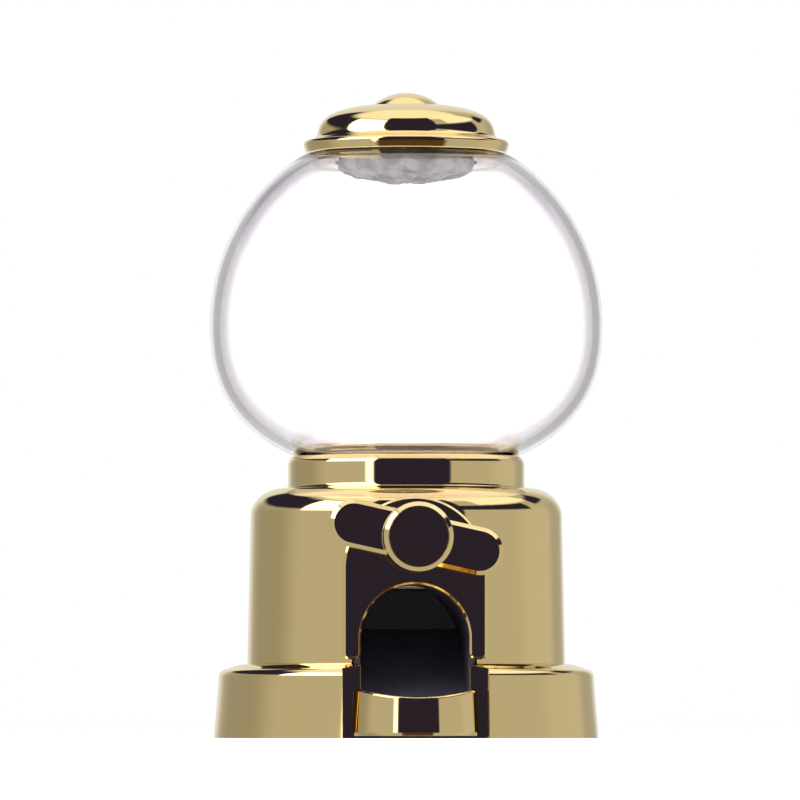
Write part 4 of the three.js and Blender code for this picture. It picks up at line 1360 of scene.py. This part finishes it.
@dataclass
class Screws:
    """Pan-head screws with threads and a cross recess, placed by Geometry Nodes.

    Attributes:
        head_radius: In millimetres, like the next three.
        head_height: From its top to its seat.
        thread: How far the thread stands out.
        pitch: From one turn of the thread to the next.
        edge: Share of the head's height below its rounding.
        crown: Share of the head's radius that is flat on top.
        foot: Share of the head's radius at its seat.
        recess: Length, width and depth of the recess, in shares of the head.
        recess_drop: Place of the recess's middle, in shares of the head's height.
        root: Share of the shank's radius left under the thread.
        point: Share of the shank's radius at its point.
        thread_end: Share of the shank's radius where the thread ends.
        thread_run: Share of the shank's length that is threaded.
        sides: Facets of the head.
    """

    head_radius: float = 2.0
    head_height: float = 0.9
    thread: float = 0.13
    pitch: float = 0.8
    edge: float = 0.45
    crown: float = 0.72
    foot: float = 0.97
    recess: tuple[float, float, float] = (1.1, 0.26, 1.2)
    recess_drop: float = -1.05
    root: float = 0.86
    point: float = 0.55
    thread_end: float = 0.6
    thread_run: float = 0.94
    sides: int = 40

    def tree(self) -> bpy.types.GeometryNodeTree:
        """The node tree: one screw, instanced on each point of the input.

        Returns:
            The tree, with named inputs for the sizes.
        """
        tree = bpy.data.node_groups.new("pan_head_screws", "GeometryNodeTree")
        face = tree.interface
        face.new_socket("Geometry", in_out="INPUT", socket_type="NodeSocketGeometry")
        for name in ("Head Radius", "Head Height", "Shank Radius", "Shank Length", "Thread", "Pitch"):
            face.new_socket(name, in_out="INPUT", socket_type="NodeSocketFloat")
        face.new_socket("Finish", in_out="INPUT", socket_type="NodeSocketMaterial")
        face.new_socket("Geometry", in_out="OUTPUT", socket_type="NodeSocketGeometry")
        inputs = add(tree, "NodeGroupInput").outputs
        across, along, deep = self.recess
        sizes = {}
        for name, source, factor in (
            ("seat radius", "Head Radius", self.foot),
            ("crown radius", "Head Radius", self.crown),
            ("rim height", "Head Height", self.edge),
            ("rim place", "Head Height", -self.edge),
            ("dome height", "Head Height", 1 - self.edge),
            ("dome place", "Head Height", -1.0),
            ("recess length", "Head Radius", across),
            ("recess width", "Head Radius", along),
            ("recess depth", "Head Height", deep),
            ("recess place", "Head Height", self.recess_drop),
            ("point radius", "Shank Radius", self.point),
            ("root radius", "Shank Radius", self.root),
            ("thread radius", "Shank Radius", self.thread_end),
            ("thread length", "Shank Length", self.thread_run),
        ):
            sizes[name] = add(tree, "ShaderNodeMath", {0: inputs[source], 1: factor}, operation="MULTIPLY")
        places = {}
        for name in ("rim place", "dome place", "recess place"):
            places[name] = add(tree, "ShaderNodeCombineXYZ", {"Z": sizes[name]})
        rim = add(tree, "GeometryNodeMeshCone", {
            "Vertices": self.sides, "Side Segments": 1, "Radius Top": sizes["seat radius"],
            "Radius Bottom": inputs["Head Radius"], "Depth": sizes["rim height"]})
        rim = add(tree, "GeometryNodeTransform", {"Geometry": rim, "Translation": places["rim place"]})
        dome = add(tree, "GeometryNodeMeshCone", {
            "Vertices": self.sides, "Side Segments": 3, "Radius Top": inputs["Head Radius"],
            "Radius Bottom": sizes["crown radius"], "Depth": sizes["dome height"]})
        cap = add(tree, "GeometryNodeTransform", {"Geometry": dome, "Translation": places["dome place"]})
        size = add(tree, "ShaderNodeCombineXYZ", {
            "X": sizes["recess length"], "Y": sizes["recess width"], "Z": sizes["recess depth"]})
        slot = add(tree, "GeometryNodeMeshCube", {"Size": size})
        for angle in (0.0, math.pi / 2):
            arm = add(tree, "GeometryNodeTransform", {"Geometry": slot, "Rotation": (0.0, 0.0, angle)})
            arm = add(tree, "GeometryNodeTransform", {"Geometry": arm, "Translation": places["recess place"]})
            cap = add(tree, "GeometryNodeMeshBoolean", {0: cap, 1: arm}, operation="DIFFERENCE")
        core = add(tree, "GeometryNodeMeshCone", {
            "Vertices": 24, "Side Segments": 2, "Radius Top": sizes["point radius"],
            "Radius Bottom": sizes["root radius"], "Depth": inputs["Shank Length"]})
        turns = add(tree, "ShaderNodeMath", {0: inputs["Shank Length"], 1: inputs["Pitch"]},
                    operation="DIVIDE")
        helix = add(tree, "GeometryNodeCurveSpiral", {
            "Resolution": 24, "Rotations": turns, "Start Radius": sizes["root radius"],
            "End Radius": sizes["thread radius"], "Height": sizes["thread length"]})
        ridge = add(tree, "GeometryNodeCurvePrimitiveCircle", {"Resolution": 6, "Radius": inputs["Thread"]})
        thread = add(tree, "GeometryNodeCurveToMesh", {
            "Curve": helix, "Profile Curve": ridge, "Fill Caps": True})
        whole = add(tree, "GeometryNodeJoinGeometry")
        for part in (rim, cap, core, thread):
            tree.links.new(part.outputs[0], whole.inputs[0])
        aim = add(tree, "GeometryNodeInputNamedAttribute", {"Name": "aim"}, data_type="FLOAT_VECTOR")
        turn = add(tree, "FunctionNodeAlignRotationToVector", {"Vector": aim}, axis="Z")
        placed = add(tree, "GeometryNodeInstanceOnPoints", {
            "Points": inputs["Geometry"], "Instance": whole, "Rotation": turn})
        real = add(tree, "GeometryNodeRealizeInstances", {"Geometry": placed})
        dressed = add(tree, "GeometryNodeSetMaterial", {"Geometry": real, "Material": inputs["Finish"]})
        add(tree, "NodeGroupOutput", {0: dressed})
        return tree

    def place(self, name: str, body: Body, nodes: Sequence[str], drive: Drive, shank: float = 1.0) -> None:
        """Makes one group of like screws.

        Args:
            name: The group's name.
            body: The body they ride on.
            nodes: The frame's screws that they stand for.
            drive: Where their points look.
            shank: Radius of their shanks, in millimetres.
        """
        aim = Vector(drive.value)
        mesh = bpy.data.meshes.new(name)
        seats = []
        for node in nodes:
            part = Extent.of(node)
            along = abs(part.size.dot(aim))
            seats.append((part.centre - aim * (along / 2 - self.head_height)) * MM)
        mesh.from_pydata(seats, [], [])
        aims = mesh.attributes.new("aim", "FLOAT_VECTOR", "POINT")
        aims.data.foreach_set("vector", [part for _ in seats for part in aim])
        obj = bpy.data.objects.new(name, mesh)
        bpy.context.scene.collection.objects.link(obj)
        build = obj.modifiers.new("Screws", "NODES")
        build.node_group = bpy.data.node_groups.get("pan_head_screws") or self.tree()
        length = abs(Extent.of(nodes[0]).size.dot(aim)) - self.head_height
        values = {"Head Radius": self.head_radius * MM, "Head Height": self.head_height * MM,
                  "Shank Radius": shank * MM, "Shank Length": length * MM, "Thread": self.thread * MM,
                  "Pitch": self.pitch * MM, "Finish": ZINC.material()}
        for socket in build.node_group.interface.items_tree:
            if socket.item_type == "SOCKET" and socket.in_out == "INPUT" and socket.name in values:
                build[socket.identifier] = values[socket.name]
        bake(obj)
        complete(obj, ZINC, body, *nodes)

    def build(self) -> None:
        """Builds all the screws."""
        four, two = range(1, 5), range(1, 3)
        self.place("base_screws", Body.MACHINE, [f"base_screw_{i}" for i in four], Drive.UP)
        self.place("housing_screws", Body.MACHINE, [f"housing_screw_{i}" for i in four], Drive.UP)
        self.place("chute_screws", Body.MACHINE, [f"chute_screw_{i}" for i in two], Drive.DOWN)
        self.place("plate_screws", Body.MACHINE, [f"plate_screw_{i}" for i in two], Drive.FRONT)
        self.place("knob_screw", Body.KNOB, ["knob_screw"], Drive.BACK, 0.8)


# ---- Studio ---------------------------------------------------------------------------


@dataclass(frozen=True)
class Card:
    """A part of the room that the gold reflects.

    Attributes:
        left: Its left side, in degrees round from the front.
        right: Its right side.
        low: Its lower side, in degrees up from the horizon.
        high: Its upper side.
        level: How bright it is.
        colour: Its sRGB hex.
        soft: Half the width of its soft edge, in degrees.
    """

    left: float
    right: float
    low: float
    high: float
    level: float
    colour: str = "#FFFFFF"
    soft: float = 1.5


DARK = "#5F598F"
ROOM = (
    Card(-152, -100, -100, 20, 0.34, soft=14),            # far left wall
    Card(92, 132, -100, 20, 0.56, soft=9),                # near right wall
    Card(132, 154, -100, 20, 0.42, soft=7),               # far right wall
    Card(-190, 190, 54, 95, 1.06, soft=4),                # ceiling
    Card(-162, -88, 20, 50, 0.2, DARK, soft=3),           # gap behind the left lamp
    Card(36, 108, 17, 34, 0.2, DARK, soft=2),             # gap under the right lamp
    Card(122, 146, 26, 38, 0.2, DARK, soft=2),            # gap behind the right lamp
    Card(-90, -34, 15, 50, 3.0, soft=1.5),                # left lamp
    Card(-43, -35, -30, 18, 2.2),                         # its lower edge
    Card(60, 124, 36, 66, 1.15, soft=3),                  # right lamp
    Card(-40, 46, -75, -22, 0.16, "#C89B6A", soft=4),     # table edge in front
    Card(-35, 41, -26, 62, 0.2, DARK),                    # dark room behind the camera
)


@dataclass
class Studio:
    """The camera, the floor, the lamps and the surroundings that the gold reflects.

    Attributes:
        lens: Focal length in millimetres.
        azimuth: Degrees round from the front, to the left when below 0.
        distance: From the machine to the camera, in millimetres like the sizes below.
        eye_height: Of the camera over the table.
        aim_height: Of the point that it looks at.
        aim_side: How far that point is to the right of the middle.
        clip: Nearest and farthest that the camera sees, in metres.
        floor_size: Side of the floor.
        paper_grain: Grains of the floor's paper per metre.
        paper_relief: Depth of its grain.
        lamp_aim: Height that the lamps point at.
        walls: How bright the room is where no card is.
        paper: How bright the backdrop is.
        behind: Where the backdrop starts and is full, in degrees round from the front.
        behind_top: Where it fades out upwards, in degrees.
        glass_back: Light that comes straight through the globe.
        glass_rim: Light in every direction, which its rim bends in.
        glass_sides: Light from the front half of the room.
        glass_back_edge: Where the light from behind starts and is full, as a cosine.
        glass_side_edge: Where the light from the front fades out, as a cosine.
        glass_tip: How far up the light from behind is tipped.
    """

    lens: float = 405.0
    azimuth: float = -3.1
    distance: float = 1440.0
    eye_height: float = 2.0
    aim_height: float = 54.1
    aim_side: float = -1.0
    clip: Point = (0.05, 20.0)
    floor_size: float = 8000.0
    paper_grain: float = 900.0
    paper_relief: float = 0.05
    lamp_aim: float = 50.0
    walls: float = 0.5
    paper: float = 0.8
    behind: Point = (149.0, 169.0)
    behind_top: Point = (56.0, 64.0)
    glass_back: float = 1.2
    glass_rim: float = 0.6
    glass_sides: float = 0.7
    glass_back_edge: Point = (0.955, 0.994)
    glass_side_edge: Point = (0.55, 0.75)
    glass_tip: float = 0.036

    def build(self) -> None:
        """Builds everything that isn't the object."""
        self.build_camera()
        self.build_floor()
        self.build_lamps()
        self.build_surroundings()
        settings = bpy.context.scene.view_settings
        settings.view_transform = "Standard"
        settings.look = "None"

    def build_camera(self) -> None:
        """A long lens at table level, a little to the left of the front."""
        angle = math.radians(self.azimuth)
        back = Vector((math.sin(angle), -math.cos(angle), 0))
        side = Vector((math.cos(angle), math.sin(angle), 0))
        data = bpy.data.cameras.new("camera")
        data.lens = self.lens
        camera = bpy.data.objects.new("camera", data)
        target = side * self.aim_side + Vector((0, 0, self.aim_height))
        camera.location = (back * self.distance + Vector((0, 0, self.eye_height))) * MM
        camera.rotation_euler = (target * MM - camera.location).to_track_quat("-Z", "Y").to_euler()
        data.clip_start, data.clip_end = self.clip
        bpy.context.scene.collection.objects.link(camera)
        bpy.context.scene.camera = camera

    def build_floor(self) -> None:
        """A plain pale sheet under the machine."""
        mesh = bmesh.new()
        bmesh.ops.create_grid(mesh, x_segments=1, y_segments=1, size=self.floor_size / 2)
        floor = to_object("floor", mesh)
        paper = bpy.data.materials.new("matt_white_card")
        paper.use_nodes = True
        tree = paper.node_tree
        tree.nodes.clear()
        place = add(tree, "ShaderNodeTexCoord").outputs["Object"]
        grain = add(tree, "ShaderNodeTexNoise", {"Vector": place, "Scale": self.paper_grain, "Detail": 2.0})
        bump = add(tree, "ShaderNodeBump", {
            "Height": grain.outputs["Fac"], "Distance": self.paper_relief * MM})
        surface = add(tree, "ShaderNodeBsdfPrincipled", {
            "Base Color": linear("#FAF9F8"), "Roughness": 0.9, "Normal": bump.outputs["Normal"]})
        add(tree, "ShaderNodeOutputMaterial", {"Surface": surface.outputs["BSDF"]})
        floor.data.materials.append(paper)
        floor.visible_glossy = False
        floor.visible_transmission = False

    def build_lamps(self) -> None:
        """Soft lamps that shape the shadows; the gold doesn't show them."""
        for name, place, size, power in (
            ("key", (-500, -500, 800), 600, 6.0),
            ("fill", (600, -400, 600), 600, 3.0),
            ("top", (0, 100, 900), 800, 5.0),
        ):
            data = bpy.data.lights.new(name, "AREA")
            data.shape = "DISK"
            data.size = size * MM
            data.energy = power
            lamp = bpy.data.objects.new(name, data)
            lamp.location = Vector(place) * MM
            aim = Vector((0, 0, self.lamp_aim)) * MM
            lamp.rotation_euler = (aim - lamp.location).to_track_quat("-Z", "Y").to_euler()
            lamp.visible_glossy = False
            lamp.visible_transmission = False
            bpy.context.scene.collection.objects.link(lamp)

    def build_surroundings(self) -> None:
        """A bright room with a dark gap behind the camera and a white strip beside it."""
        world = bpy.data.worlds.new("studio")
        world.use_nodes = True
        tree = world.node_tree
        tree.nodes.clear()
        way = add(tree, "ShaderNodeTexCoord").outputs["Generated"]
        split = add(tree, "ShaderNodeSeparateXYZ", {0: way}).outputs
        path = add(tree, "ShaderNodeLightPath").outputs
        white = (1.0, 1.0, 1.0, 1.0)

        def band(value: bpy.types.Node, start: float, end: float, soft: float) -> bpy.types.Node:
            """1 between two angles and 0 outside them, with soft edges."""
            rising = add(tree, "ShaderNodeMapRange", {
                "Value": value, "From Min": start - soft, "From Max": start + soft},
                interpolation_type="SMOOTHSTEP")
            falling = add(tree, "ShaderNodeMapRange", {
                "Value": value, "From Min": end - soft, "From Max": end + soft, "To Min": 1.0, "To Max": 0.0},
                interpolation_type="SMOOTHSTEP")
            return add(tree, "ShaderNodeMath", {0: rising, 1: falling}, operation="MULTIPLY")

        front = add(tree, "ShaderNodeMath", {0: split["Y"], 1: -1.0}, operation="MULTIPLY")
        bearing = add(tree, "ShaderNodeMath", {0: split["X"], 1: front}, operation="ARCTAN2")
        turn = add(tree, "ShaderNodeMath", {0: bearing}, operation="DEGREES")
        slope = add(tree, "ShaderNodeMath", {0: split["Z"]}, operation="ARCSINE")
        rise = add(tree, "ShaderNodeMath", {0: slope}, operation="DEGREES")
        aside = add(tree, "ShaderNodeMath", {0: turn}, operation="ABSOLUTE")
        start, end = self.behind
        beyond = add(tree, "ShaderNodeMapRange", {"Value": aside, "From Min": start, "From Max": end},
                     interpolation_type="SMOOTHSTEP")
        start, end = self.behind_top
        below = add(tree, "ShaderNodeMapRange", {
            "Value": rise, "From Min": start, "From Max": end, "To Min": 1.0, "To Max": 0.0},
            interpolation_type="SMOOTHSTEP")
        behind = add(tree, "ShaderNodeMath", {0: beyond, 1: below}, operation="MULTIPLY")
        view = add(tree, "ShaderNodeMix", {
            "Factor": behind, 6: (*[self.walls] * 3, 1.0), 7: (*[self.paper] * 3, 1.0)},
            data_type="RGBA").outputs[2]
        for card in ROOM:
            across = band(turn, card.left, card.right, card.soft)
            upright = band(rise, card.low, card.high, card.soft)
            shown = add(tree, "ShaderNodeMath", {0: across, 1: upright}, operation="MULTIPLY")
            shade = (*[part * card.level for part in linear(card.colour)[:3]], 1.0)
            view = add(tree, "ShaderNodeMix", {"Factor": shown, 6: view, 7: shade},
                       data_type="RGBA").outputs[2]
        angle = math.radians(self.azimuth)
        ahead = add(tree, "ShaderNodeVectorMath", {
            0: way, 1: (-math.sin(angle), math.cos(angle), self.glass_tip)},
            operation="DOT_PRODUCT").outputs["Value"]
        start, end = self.glass_back_edge
        back = add(tree, "ShaderNodeMapRange", {
            "Value": ahead, "From Min": start, "From Max": end, "To Min": self.glass_rim,
            "To Max": self.glass_rim + self.glass_back}, interpolation_type="SMOOTHSTEP")
        start, end = self.glass_side_edge
        sides = add(tree, "ShaderNodeMapRange", {
            "Value": ahead, "From Min": start, "From Max": end, "To Min": self.glass_sides, "To Max": 0.0},
            interpolation_type="SMOOTHSTEP")
        backlight = add(tree, "ShaderNodeMath", {0: back, 1: sides}, operation="ADD")
        lit = add(tree, "ShaderNodeCombineColor", {0: backlight, 1: backlight, 2: backlight})
        seen = view
        for ray, shade in (("Is Transmission Ray", lit), ("Is Diffuse Ray", white), ("Is Camera Ray", white)):
            seen = add(tree, "ShaderNodeMix", {"Factor": path[ray], 6: seen, 7: shade},
                       data_type="RGBA").outputs[2]
        room = add(tree, "ShaderNodeBackground", {"Color": seen, "Strength": 1.0})
        add(tree, "ShaderNodeOutputWorld", {"Surface": room.outputs[0]})
        bpy.context.scene.world = world


def main() -> None:
    """Builds the dispenser and its studio."""
    logging.basicConfig(level=logging.INFO, format="%(name)s: %(message)s")
    for assembly in (Base, Housing, Vessel, Lid, Knob, Mechanism, Screws, Studio):
        log.info("building %s", assembly.__name__)
        assembly().build()


if __name__ == "__main__":
    main()
